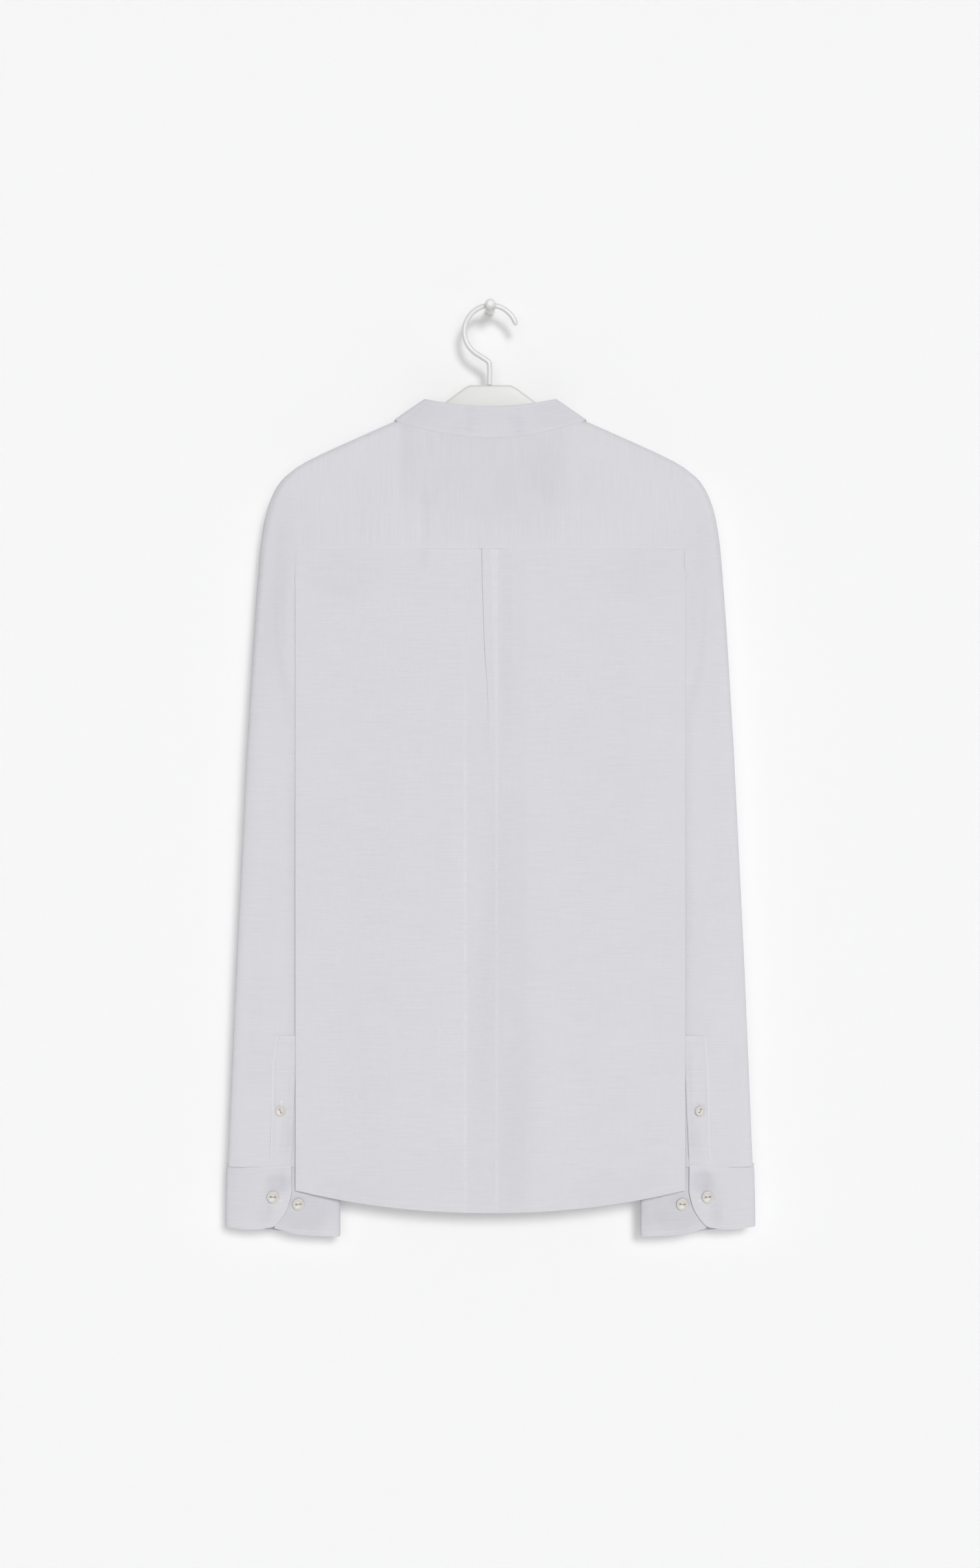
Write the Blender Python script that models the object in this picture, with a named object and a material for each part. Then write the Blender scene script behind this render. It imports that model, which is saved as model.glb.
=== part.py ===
"""A long-sleeved shirt with a band collar, on a hanger that hangs from a wall peg.

The wall is the plane Y = 0 and the shirt's back faces -Y. The origin is the middle of the peg's foot on the
wall. Sizes are in millimetres and turn into metres when a mesh is made. Each cloth piece is a grid of points
on its outer face, made into a wall by a Solidify modifier. Depths are distances from the hanger's middle
plane.
"""

import math

import bmesh
import bpy
from mathutils import Matrix, Vector

MM = 0.001

# cloth
WALL = 1.0  # body, yoke and sleeves
COLLAR_WALL = 2.2
CUFF_WALL = 1.8
SEAM_GAP = 0.3
LAP_GAP = 0.4  # between cloth layers that lie on each other
BACK, FRONT = -1, 1  # sides of the hanger's middle plane

# body
MID_Y = -27.0  # the hanger's middle plane
EDGE_X = 184.0  # where the back and the front fold inwards
FOLD_R = 2.75  # outer radius of that fold
SIDE_SEAM_X = 100.0  # how far in the side seam lies
BODY_DEPTH = 18.0  # half depth of the hanging body at its centre
EDGE_SLACK = 2.5  # by this much shallower at its folded edges
SETTLE = 130.0  # height over which the cloth settles from the ridge to its full depth
RIDGE_R = 6.7  # outer radius of the cloth over the hanger's arms
RIDGE_DROPS = (0.9, 3.35, RIDGE_R)  # from the ridge down, for the grids' rows
FOLD_TOP_Z = -247.0
UNDERARM_Z = -397.0
CURL_RUN = 30.0  # height over which the folded edge forms
ARMHOLE_POWER = 1.67
ARMHOLE_X = 184.0
HEM_Z = -857.5
HEM_RISE = 20.5  # from the centre to the folded edge
HEM_POWER = 2.1
FRONT_HEM_LIFT = 7.0
YOKE_Z = -232.0
FRONT_YOKE_DROP = 30.0  # from the ridge down to the yoke's front seam
LAP = 15.0  # each front passes the centre by this much

# neck and collar
NECK_X = 91.0
NECK_TOP_Z = -110.0  # where the collar seam crosses the shoulder ridge
NECK_BACK_Z = -128.0
NECK_POWER = 1.9
NECK_FRONT_DROP = 78.0
NECK_DEPTH = 16.0
NECK_STEPS = 8  # from the shoulder ridge to the centre, at the back and at the front
RIDGE_TURNS = (0.0115, 0.043, 0.086)  # extra places on the front neck, just past the ridge, in radians
COLLAR_TOP_X = 62.5
COLLAR_PEAK_Z = -89.5
COLLAR_BACK_Z = -97.3
COLLAR_TOP_DEPTH = 15.0
COLLAR_FRONT_DROP = 68.0
COLLAR_FOLD_LIFT = 1.3  # the band's side folds stand this much clear of the shoulder ridge
COLLAR_END_RISE = 0.25  # its top edge rises by this share past the centre front

# box pleat at the centre back, folded at the yoke and open below
PLEAT_LEFT, PLEAT_RIGHT = -8.0, 17.0
PLEAT_UNDER = 10.0
PLEAT_DRIFT = 3.0
PLEAT_SPREAD = 34.0  # from the pleat's middle to where its cloth lies flat
PLEAT_OPENING = (  # height, share of the fold that is still there
    (-232.0, 1.0),
    (-330.0, 0.85),
    (-362.0, 0.5),
    (-392.0, 0.2),
    (-432.0, 0.0),
)

# rows and columns of the body's grids
BODY_COLUMNS = (181.25, 170.0, 148.0, 124.0, 102.0)
BACK_COLUMNS = (*BODY_COLUMNS, 74.0, 46.0)
SHOULDER_COLUMNS = (184.0, 174.0, 158.0, 141.0, 125.0, 108.0)
TOP_ROWS = {BACK: (1.0,), FRONT: (0.3, 0.62, 1.0)}  # shares of the way from a seam to the fold's top
LEVEL_ROWS = (-255, -263, -271, -280, -302, -330, -360, -380, -397, -450, -540, -660, -780)

# shoulder ridge and the outer fold of the sleeve, from the neck to the cuff
SHOULDER = (  # x, height
    (91.0, -110.0),
    (125.0, -125.1),
    (158.0, -140.0),
    (174.0, -148.0),
    (184.0, -154.0),
)
SLEEVE_FOLD = (  # x, height
    (184.3, -154.2),
    (197.2, -165.0),
    (205.1, -177.1),
    (210.1, -189.1),
    (213.4, -201.2),
    (217.4, -226.4),
    (219.6, -250.6),
    (223.6, -304.0),
    (226.8, -355.3),
    (230.4, -420.0),
    (240.8, -631.2),
    (248.4, -812.7),
)
SLEEVE_INNER = (  # height, x of the inner fold
    (-420.0, 102.5),
    (-560.0, 112.0),
    (-700.0, 127.0),
    (-812.7, 141.0),
)
SLEEVE_DEPTH_TOP, SLEEVE_DEPTH_END = 9.0, 7.4
SLEEVE_ROUND = 2.6  # power of the sleeve's section
SLEEVE_Z = -420.0  # below this the sleeve's sections are level
CUFF_Z = -813.0
SLEEVE_STEPS = 14  # from the inner fold to the outer one
SLEEVE_CAP_ROWS = 9
SLEEVE_CLEAR = 0.5  # from the body's folded-in side
UNDERARM_EASE = 1.3  # more of it where the side turns in to the underarm
UNDERARM_EASE_Z, UNDERARM_EASE_RUN = -335.0, 45.0
ARMHOLE_GAP = 0.95  # at the outer faces: the sleeve rounds away, so its inner edge comes nearer

# right cuff: (x, half depth towards the back, height of the lower edge), from the buttonhole end round
CUFF = (
    (187.8, 9.2, -839.0),
    (189.0, 9.2, -845.0),
    (191.6, 9.2, -854.0),
    (196.0, 9.1, -862.0),
    (203.5, 8.9, -871.0),
    (212.0, 8.5, -873.6),
    (226.0, 7.6, -875.0),
    (239.0, 6.0, -874.0),
    (247.0, 3.8, -873.2),
    (250.8, 1.3, -872.8),
    (250.8, -1.3, -872.8),
    (247.0, -3.8, -873.2),
    (239.0, -6.0, -874.2),
    (222.0, -7.6, -876.0),
    (196.0, -8.2, -878.5),
    (170.0, -7.6, -880.5),
    (153.0, -5.6, -881.8),
    (145.0, -3.2, -882.2),
    (142.2, -1.1, -882.2),
    (142.2, 1.1, -882.2),
    (145.0, 2.9, -882.4),
    (153.0, 4.9, -881.8),
    (168.0, 6.4, -880.8),
    (184.0, 6.7, -879.4),
    (194.0, 6.5, -876.6),
    (204.0, 6.2, -874.0),
)
CUFF_MID_X = 196.0
CUFF_LEAN = 1.4  # at the seam each fold of the cuff is this much nearer its middle

# sleeve placket
PLACKET_TOP_Z = -691.0
PLACKET_END_Z = -812.6
PLACKET_LEFT = ((-691.0, 202.4), (-716.0, 205.6), (-760.0, 206.4), (-812.6, 208.0))  # height, x
PLACKET_RIGHT = ((-691.0, 182.4), (-760.0, 185.4), (-812.6, 188.0))
PLACKET_WALL = 1.0

# buttons
BUTTON_SIDES = 14
BUTTON = (11.3, 2.4)  # width, thickness
SMALL_BUTTON = (9.6, 2.0)
BUTTON_PROFILE = ((0.0, 0.82), (0.35, 1.0), (0.8, 1.0), (1.0, 0.9), (0.75, 0.68))  # shares of its size
CUFF_BUTTONS = (("outer", 205.2, -843.6, 9.2), ("inner", 181.4, -850.8, 6.8))  # name, x, height, half depth
PLACKET_BUTTON_X, PLACKET_BUTTON_Z = 198.0, -762.2
FRONT_BUTTONS = 7
FRONT_BUTTON_TOP_Z, FRONT_BUTTON_STEP = -222.0, 86.0

# hanger: outline of its top edge on one side, from the centre to the tip
HANGER_TOP = (
    (0.0, -75.7),
    (19.5, -75.7),
    (24.5, -78.2),
    (42.0, -91.2),
    (58.0, -103.5),
    (74.0, -112.5),
    (91.0, -118.0),
    (108.0, -121.4),
    (125.0, -127.8),
    (158.0, -142.4),
    (174.0, -150.6),
    (185.0, -159.2),
    (189.5, -165.5),
    (190.0, -171.0),
)
HANGER_BOTTOM = (
    (188.0, -176.0),
    (176.0, -171.0),
    (125.0, -146.0),
    (70.0, -124.0),
    (36.0, -117.0),
    (0.0, -115.0),
)
HANGER_T = 8.0
HANGER_BEVEL = 2.4
HOOK_D = 5.0
HOOK_R = 24.9
HOOK_CENTRE_X, HOOK_CENTRE_Z = 0.3, -24.7
HOOK_END_ANGLE, HOOK_SPAN = 14.0, 221.0  # degrees
HOOK_STEM_X = -0.7
HOOK_BEND = ((-7.6, -49.2), (-2.6, -52.6), (HOOK_STEM_X, -57.0))  # x, height, from the round part to the stem

# peg: distance from the wall, radius, height of its middle. The hook lies in the low neck behind the knob.
PEG = (
    (0.0, 4.3, 0.0),
    (19.5, 4.3, -1.2),
    (21.5, 3.4, -2.6),
    (23.0, 1.7, -4.4),
    (31.2, 1.7, -4.4),
    (31.9, 2.8, -3.2),
    (33.0, 4.0, -1.2),
    (34.6, 4.8, 0.0),
    (36.2, 5.0, 0.0),
    (37.8, 4.7, 0.0),
    (39.4, 3.8, 0.0),
    (40.6, 2.3, 0.0),
)


def smooth(t):
    """0 to 1 with level ends."""
    t = min(max(t, 0.0), 1.0)
    return t * t * (3 - 2 * t)


def along(rows, at):
    """Reads a table of (key, value) rows at a key, straight between its rows."""
    if (rows[0][0] > rows[-1][0]) == (at >= rows[0][0]):
        return rows[0][1]
    for (a, first), (b, second) in zip(rows, rows[1:]):
        if min(a, b) <= at <= max(a, b):
            return first + (second - first) * (at - a) / (b - a)
    return rows[-1][1]


def spline(points, count):
    """count + 1 points spaced evenly along a smooth curve through the given ones."""
    points = [Vector(p) for p in points]
    ends = [2 * points[0] - points[1], *points, 2 * points[-1] - points[-2]]
    fine = []
    for p0, p1, p2, p3 in zip(ends, ends[1:], ends[2:], ends[3:]):
        for k in range(12):
            t = k / 12
            fine.append(
                0.5 * (2 * p1 + (p2 - p0) * t + (2 * p0 - 5 * p1 + 4 * p2 - p3) * t**2
                       + (3 * p1 - p0 - 3 * p2 + p3) * t**3)
            )
    fine.append(points[-1])
    return evenly(fine, count)


def evenly(line, count):
    """count + 1 points spaced evenly along a line of points."""
    run = [0.0]
    for a, b in zip(line, line[1:]):
        run.append(run[-1] + (b - a).length)
    spaced, k = [], 0
    for i in range(count + 1):
        at = run[-1] * i / count
        while k < len(line) - 2 and run[k + 1] < at:
            k += 1
        share = (at - run[k]) / max(run[k + 1] - run[k], 1e-9)
        spaced.append(line[k].lerp(line[k + 1], min(max(share, 0.0), 1.0)))
    return spaced


def spread(start, end, count):
    return [start + (end - start) * i / count for i in range(count + 1)]


# ---- where the cloth hangs ----


def ridge_z(x):
    return NECK_TOP_Z if abs(x) <= NECK_X else along(SHOULDER, abs(x))


def half_depth(x, z):
    """Distance of the body's outer face from the middle plane."""
    x = abs(x)
    drop = max(ridge_z(x) - z, 0.0)
    neck = NECK_DEPTH * math.sqrt(1 - (x / NECK_X) ** 2.5) if x < NECK_X else 0.0
    cap = max(0.0, RIDGE_R - neck)
    rounded = math.sqrt(1 - (1 - min(drop / RIDGE_R, 1.0)) ** 2)
    full = BODY_DEPTH - EDGE_SLACK * min(x / EDGE_X, 1.0) ** 2
    return neck + cap * rounded + (full - neck - cap) * smooth(drop / SETTLE)


def neck_back_z(x):
    rise = NECK_TOP_Z - NECK_BACK_Z
    return NECK_BACK_Z + rise * min(abs(x) / NECK_X, 1.0) ** NECK_POWER


def neck_front_z(x):
    return NECK_TOP_Z - NECK_FRONT_DROP * math.sqrt(max(0.0, 1 - (x / NECK_X) ** 2))


def neck_columns():
    """x of the places along half of the neck, from the ridge to the centre."""
    return [NECK_X * math.cos(math.pi / 2 * k / NECK_STEPS) for k in range(NECK_STEPS)]


def neck_front_x(drop):
    return NECK_X * math.sqrt(max(0.0, 1 - (drop / NECK_FRONT_DROP) ** 2))


def hem_z(u, side):
    return HEM_Z + HEM_RISE * (abs(u) / EDGE_X) ** HEM_POWER + (FRONT_HEM_LIFT if side == FRONT else 0.0)


# The cloth beyond the folded edge is measured by u, its distance from the centre when laid flat.
FLAT_U = EDGE_X - FOLD_R
CURL_U = FLAT_U + math.pi * FOLD_R


def pocket_depth(z):
    """Half depth of the space between the folded-in side parts, where the sleeve hangs."""
    return half_depth(FLAT_U, z) - 2 * FOLD_R


def side_seam_u(z):
    pocket = pocket_depth(z)
    return CURL_U + (FLAT_U - SIDE_SEAM_X - pocket) + pocket * math.pi / 2 - SEAM_GAP / 2


def armhole_u(z):
    if z >= FOLD_TOP_Z:
        return ARMHOLE_X
    share = min((FOLD_TOP_Z - z) / (FOLD_TOP_Z - UNDERARM_Z), 1.0)
    return ARMHOLE_X + (side_seam_u(z) - ARMHOLE_X) * share**ARMHOLE_POWER


def edge_u(z):
    return side_seam_u(z) if z <= UNDERARM_Z else armhole_u(z)


def side_path(u, z):
    """x and half depth of the outer face at u: flat, round the edge, inwards, and round to the side seam."""
    if u <= FLAT_U:
        return u, half_depth(u, z)
    depth = half_depth(FLAT_U, z)
    curl = smooth((FOLD_TOP_Z - z) / CURL_RUN)
    if curl < 0.02:
        return u, half_depth(u, z)
    radius = FOLD_R / curl
    angle = (min(u, CURL_U) - FLAT_U) / radius
    x = FLAT_U + radius * math.sin(angle)
    depth = depth - radius * (1 - math.cos(angle))
    if u <= CURL_U:
        return x, depth
    pocket = pocket_depth(z)
    bend_x = SIDE_SEAM_X + pocket
    run = min(u - CURL_U, FLAT_U - bend_x)
    turn = max(0.0, (u - CURL_U - run) / pocket)
    return x - run - pocket * math.sin(turn), depth - pocket * (1 - math.cos(turn))


def side_columns(z, curl_steps=4, run_steps=2, turn_steps=3):
    """u of the columns from the flat part to the armhole or the side seam."""
    end = edge_u(z)
    least = 0.12  # no two columns come closer than this
    spare = least * (run_steps + turn_steps)
    curl_end = min(CURL_U, end - spare)
    columns = [FLAT_U + (curl_end - FLAT_U) * k / curl_steps for k in range(1, curl_steps + 1)]
    bend = CURL_U + FLAT_U - SIDE_SEAM_X - pocket_depth(z)
    run_end = min(max(bend, curl_end + least * run_steps), end - least * turn_steps)
    columns += [curl_end + (run_end - curl_end) * k / run_steps for k in range(1, run_steps + 1)]
    columns += [run_end + (end - run_end) * k / turn_steps for k in range(1, turn_steps + 1)]
    return columns


# ---- meshes ----


def material(name, colour, roughness, metallic=0.0):
    made = bpy.data.materials.new(name)
    made.use_nodes = True
    shader = made.node_tree.nodes["Principled BSDF"]
    shader.inputs["Base Color"].default_value = (*colour, 1.0)
    shader.inputs["Roughness"].default_value = roughness
    shader.inputs["Metallic"].default_value = metallic
    return made


def add_object(name, bm, finish):
    bmesh.ops.recalc_face_normals(bm, faces=bm.faces)
    mesh = bpy.data.meshes.new(name)
    bm.to_mesh(mesh)
    bm.free()
    mesh.materials.append(finish)
    mesh.shade_smooth()
    mesh.set_sharp_from_angle(angle=math.radians(40))
    made = bpy.data.objects.new(name, mesh)
    bpy.context.collection.objects.link(made)
    return made


def cloth(name, grid, wall, finish, closed=False, flip=False):
    """A wall whose outer face runs through the grid's points. None leaves a place in the grid empty."""
    mesh = bpy.data.meshes.new(name)
    index, points = {}, []
    for r, row in enumerate(grid):
        for c, point in enumerate(row):
            if point is not None:
                index[r, c] = len(points)
                points.append(Vector(point) * MM)
    faces = []
    for r in range(len(grid) - 1):
        width = len(grid[r])
        for c in range(width if closed else width - 1):
            right = (c + 1) % width
            corners = [index.get(k) for k in ((r, c), (r, right), (r + 1, right), (r + 1, c))]
            if None not in corners:
                faces.append(corners[::-1] if flip else corners)
    mesh.from_pydata(points, [], faces)
    mesh.materials.append(finish)
    mesh.shade_smooth()
    made = bpy.data.objects.new(name, mesh)
    bpy.context.collection.objects.link(made)
    solid = made.modifiers.new("wall", "SOLIDIFY")
    solid.thickness = wall * MM
    solid.offset = -1
    return made


def at_depth(x, depth, z, side):
    return (x, MID_Y + side * depth, z)


# ---- body ----


def pleat_share(z):
    return along(PLEAT_OPENING, z)


def pleat_path():
    """The box pleat's left half: (x from its edge, height over the panel, x from its edge when open)."""
    under = LAP_GAP / 2
    path = [(-PLEAT_SPREAD / 2, 0.0), (-3.0, 0.0)]
    for k in range(3):  # the hidden fold turns back under the pleat
        angle = math.pi * k / 2
        path.append((PLEAT_UNDER + under * math.sin(angle), under * (1 - math.cos(angle))))
    radius = LAP_GAP / 2 + WALL
    for k in range(4):  # the fold that shows
        angle = math.pi * k / 3
        path.append((radius - radius * math.sin(angle), LAP_GAP + radius * (1 - math.cos(angle))))
    path.append((PLEAT_UNDER * 0.6, LAP_GAP + 2 * radius))
    run = [0.0]
    for a, b in zip(path, path[1:]):
        run.append(run[-1] + math.dist(a, b))
    open_start, open_end = path[0][0], (PLEAT_RIGHT - PLEAT_LEFT) / 2 * 0.7
    return [(x, up, open_start + (open_end - open_start) * r / run[-1]) for (x, up), r in zip(path, run)]


def pleat_columns(z):
    """(x, height over the panel) across the whole pleat at a height."""
    share = pleat_share(z)
    drift = PLEAT_DRIFT * smooth((YOKE_Z - z) / (YOKE_Z - PLEAT_OPENING[-2][0]))
    half = [(x * share + flat * (1 - share), up * share) for x, up, flat in pleat_path()]
    left = [(PLEAT_LEFT + drift + x, up) for x, up in half]
    right = [(PLEAT_RIGHT - x, up) for x, up in reversed(half)]
    return left + right


def across(u, z, side, up=0.0):
    """A point of the body's outer face at the distance u from the centre, laid flat."""
    x, depth = side_path(abs(u), z)
    return at_depth(math.copysign(x, u), depth + up, z, side)


def back_row(z_of):
    """A row across the back between the side seams. z_of gives its height at a distance from the centre."""
    sides = side_columns(z_of(FLAT_U))
    row = [across(-u, z_of(u), BACK) for u in (*reversed(sides), *BACK_COLUMNS)]
    row += [across(x, z_of(abs(x)), BACK, up) for x, up in pleat_columns(z_of(0.0))]
    row += [across(u, z_of(u), BACK) for u in (*reversed(BACK_COLUMNS), *sides)]
    return row


def front_row(z_of, hand):
    """A row across one front, from its lapped edge to the side seam. hand is 1 for the right front."""
    row = []
    columns = (-LAP, -LAP / 2, 0.0, *reversed(neck_columns()[2:]), *reversed(BODY_COLUMNS))
    for u in (*columns, *side_columns(z_of(FLAT_U))):
        share = 1 - smooth((u - LAP) / (2 * LAP))
        row.append(across(hand * u, z_of(abs(u)), FRONT, -hand * share * (WALL + LAP_GAP) / 2))
    return row


def rows_down(top_z, side):
    """The rows' heights, as functions: even from a seam to the fold's top, level, then along the hem."""
    steps = [lambda u, f=f: top_z(u) + (FOLD_TOP_Z - top_z(u)) * f for f in (0.0, *TOP_ROWS[side])]
    steps += [lambda u, z=z: z for z in LEVEL_ROWS]
    last = LEVEL_ROWS[-1]
    steps += [lambda u, f=f: last + (hem_z(u, side) - last) * f for f in (0.35, 0.7, 1.0)]
    return steps


def front_top_z(u):
    if u < neck_columns()[2]:
        return neck_front_z(u) - SEAM_GAP
    return ridge_z(u) - FRONT_YOKE_DROP - SEAM_GAP / 2


def add_body(finish):
    back_rows = rows_down(lambda u: YOKE_Z - SEAM_GAP / 2, BACK)
    cloth("back", [back_row(z_of) for z_of in back_rows], WALL, finish, flip=True)
    front_rows = rows_down(front_top_z, FRONT)
    cloth("front_right", [front_row(z_of, 1) for z_of in front_rows], WALL, finish)
    cloth("front_left", [front_row(z_of, -1) for z_of in front_rows], WALL, finish, flip=True)


def add_yoke(finish):
    """From the back seam up to the neck and over the shoulders to the front seams."""
    half = (*SHOULDER_COLUMNS, *neck_columns())
    columns = [-x for x in half] + [0.0] + list(reversed(half))
    grid = []
    for share in spread(0.0, 1.0, 5):
        row = []
        for x in columns:
            top = neck_back_z(x) if abs(x) < NECK_X else ridge_z(x)
            z = top - RIDGE_R + (YOKE_Z + SEAM_GAP / 2 - top + RIDGE_R) * (1 - share)
            row.append(at_depth(x, half_depth(x, z), z, BACK))
        grid.append(row)
    for angle in (60, 30, 0):
        drop = RIDGE_R * (1 - math.cos(math.radians(angle)))
        row = []
        for x in columns:
            z = (neck_back_z(x) if abs(x) < NECK_X else ridge_z(x)) - drop
            row.append(at_depth(x, half_depth(x, z), z, BACK))
        grid.append(row)
    for drop in (*RIDGE_DROPS, 15.2, FRONT_YOKE_DROP - SEAM_GAP / 2):
        row = []
        for x in columns:
            if abs(x) < NECK_X:
                row.append(None)
                continue
            inner = neck_front_x(drop)
            moved = inner + (ARMHOLE_X - inner) * (abs(x) - NECK_X) / (ARMHOLE_X - NECK_X)
            z = ridge_z(moved) - drop
            row.append(at_depth(math.copysign(moved, x), half_depth(moved, z), z, FRONT))
        grid.append(row)
    cloth("yoke", grid, WALL, finish)


# ---- collar ----


def collar_top_depth(turn):
    """Half depth of the band's top edge at a turn from its side fold."""
    drop = COLLAR_FRONT_DROP * math.sin(turn)
    rounded = math.sqrt(1 - (1 - min(drop / RIDGE_R, 1.0)) ** 2)
    return RIDGE_R * rounded + (COLLAR_TOP_DEPTH - RIDGE_R) * math.sqrt(max(0.0, 1 - math.cos(turn) ** 2.5))


def collar_back(turn):
    """The band's lower and upper edge at the back, at a turn from its centre: x, half depth, height, side."""
    x, top_x = NECK_X * math.sin(turn), COLLAR_TOP_X * math.sin(turn)
    low = (x, half_depth(x, neck_back_z(x)), neck_back_z(x), BACK)
    rise = (COLLAR_PEAK_Z - COLLAR_BACK_Z) * math.sin(turn) ** 2
    return low, (top_x, collar_top_depth(math.pi / 2 - abs(turn)), COLLAR_BACK_Z + rise, BACK)


def collar_front(turn, hand):
    """The same at the front, at a turn from the side fold. The left end laps over the right one."""
    x, z = NECK_X * math.cos(turn), NECK_TOP_Z - NECK_FRONT_DROP * math.sin(turn)
    top_x, top_z = COLLAR_TOP_X * math.cos(turn), COLLAR_PEAK_Z - COLLAR_FRONT_DROP * math.sin(turn)
    lap = -hand * smooth((turn - 0.8) / 0.6) * (COLLAR_WALL + LAP_GAP) / 2
    low = (hand * x, half_depth(x, z) + lap, z, FRONT)
    return low, (hand * top_x, collar_top_depth(turn) + lap, top_z, FRONT)


def add_collar(finish):
    """A standing band: along the back neck, folded at the sides, and down the front to its lapped ends."""
    quarter = math.pi / 2
    stations = [collar_back(quarter * k / NECK_STEPS) for k in range(-NECK_STEPS, NECK_STEPS + 1)]
    for hand in (1, -1):
        turns = [*RIDGE_TURNS, *spread(0.0, quarter, NECK_STEPS)[1:]]
        front = [collar_front(turn, hand) for turn in turns]
        low, high = front[-1]
        for past in (LAP / 2, LAP):
            end_low = (-hand * past, low[1], neck_front_z(past), FRONT)
            front.append((end_low, (-hand * past, high[1], high[2] + COLLAR_END_RISE * past, FRONT)))
        stations = stations + front if hand > 0 else front[::-1] + stations
    grid = []
    for share in (1.0, 0.67, 0.33, 0.0):
        row = []
        for low, high in stations:
            x, depth, z = (a + (b - a) * share for a, b in zip(low[:3], high[:3]))
            lift = SEAM_GAP + COLLAR_FOLD_LIFT * (abs(low[0]) / NECK_X) ** 20
            row.append(at_depth(x, depth, z + lift * (1 - share), low[3]))
        grid.append(row)
    cloth("collar", grid, COLLAR_WALL, finish, flip=True)


# ---- sleeves and cuffs ----


def sleeve_fold_x(z):
    return along([(height, x) for x, height in SLEEVE_FOLD], z)


def sleeve_section(x, z):
    """Half depth of the sleeve's level section."""
    inner, outer = along(SLEEVE_INNER, z), sleeve_fold_x(z)
    share = (SLEEVE_Z - z) / (SLEEVE_Z - CUFF_Z)
    depth = SLEEVE_DEPTH_TOP + (SLEEVE_DEPTH_END - SLEEVE_DEPTH_TOP) * share
    off = min(abs(2 * x - inner - outer) / (outer - inner), 1.0)
    return depth * (1 - off**SLEEVE_ROUND) ** (1 / SLEEVE_ROUND)


def level_half(z):
    """The sleeve's back half at a height, from the inner fold to the outer one: (x, half depth, z)."""
    inner, outer = along(SLEEVE_INNER, z), sleeve_fold_x(z)
    half = []
    for step in range(SLEEVE_STEPS + 1):
        wave = -math.cos(math.pi * step / SLEEVE_STEPS)
        x = (inner + outer) / 2 + (outer - inner) / 2 * math.copysign(abs(wave) ** (2 / SLEEVE_ROUND), wave)
        half.append(Vector((x, sleeve_section(x, z), z)))
    return half


def armhole_half():
    """The sleeve's back edge along the armhole, from the underarm to the shoulder ridge."""
    folded = []
    step_u = 0.05  # for the direction in which the body's cloth runs
    for z in spread(UNDERARM_Z, FOLD_TOP_Z, 60):
        curl = smooth((FOLD_TOP_Z - z) / CURL_RUN)
        (x, depth), (near_x, near_depth) = side_path(edge_u(z), z), side_path(edge_u(z) - step_u, z)
        run_x, run_depth = (x - near_x) / step_u, (depth - near_depth) / step_u
        ease = UNDERARM_EASE * smooth((UNDERARM_EASE_Z - z) / UNDERARM_EASE_RUN)
        ahead, aside = ARMHOLE_GAP * (1 - curl), curl * (SLEEVE_CLEAR + ease)
        moved = (x + run_x * ahead - run_depth * aside, depth + run_depth * ahead + run_x * aside, z)
        folded.append(Vector(moved))
    straight = []
    for drop in (72.0, 50.0, 30.0, 15.0, *reversed(RIDGE_DROPS), 0.0):
        z = ridge_z(ARMHOLE_X) - drop
        straight.append(Vector((ARMHOLE_X + ARMHOLE_GAP, half_depth(ARMHOLE_X, z), z)))
    return evenly(folded, SLEEVE_STEPS - len(straight)) + straight


def under_fold(point):
    """Keeps a point of the sleeve behind the body's folded edge, and lets it rise again past the edge."""
    formed = smooth((FOLD_TOP_Z + 3 - point.z) / (0.7 * CURL_RUN))
    if formed > 0:
        roof = half_depth(FLAT_U, point.z) - 2 * FOLD_R * formed - SLEEVE_CLEAR
        roof += max(0.0, point.x - EDGE_X - 2) * 0.3
        point.y = min(point.y, roof)
    return point


def sleeve_halves():
    """The sleeve's rows from the armhole to the cuff, each its back half."""
    start, level = armhole_half(), level_half(SLEEVE_Z)
    fold = spline([(x, 0.0, z) for x, z in SLEEVE_FOLD if z >= SLEEVE_Z], SLEEVE_CAP_ROWS)
    halves = [start]
    for step in range(1, SLEEVE_CAP_ROWS + 1):
        share = step / SLEEVE_CAP_ROWS
        outer = fold[step]
        blend = [a.lerp(b, share) for a, b in zip(start, level)]
        moved = outer - blend[-1]
        moved.y = 0.0
        halves.append([under_fold(p + moved * (k / SLEEVE_STEPS) ** 2) for k, p in enumerate(blend)])
    halves += [level_half(z) for z in spread(SLEEVE_Z, CUFF_Z + SEAM_GAP, 5)[1:]]
    return halves


def add_sleeves(finish):
    for name, hand in (("sleeve_right", 1), ("sleeve_left", -1)):
        grid = []
        for half in sleeve_halves():
            back = [at_depth(hand * p.x, p.y, p.z, BACK) for p in half]
            front = [at_depth(hand * p.x, p.y, p.z, FRONT) for p in half[1:-1]]
            grid.append(back + front[::-1])
        cloth(name, grid, WALL, finish, closed=True, flip=hand > 0)


def add_cuffs(finish):
    for name, hand in (("cuff_right", 1), ("cuff_left", -1)):
        grid = []
        for share in (0.0, 0.35, 0.7, 1.0):
            row = []
            for x, depth, low in CUFF:
                lean = CUFF_LEAN * (1 - share) * (x - CUFF_MID_X) / (CUFF[9][0] - CUFF_MID_X)
                row.append(at_depth(hand * (x - lean), depth, CUFF_Z + (low - CUFF_Z) * share, BACK))
            grid.append(row)
        cloth(name, grid, CUFF_WALL, finish, flip=hand > 0)


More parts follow.
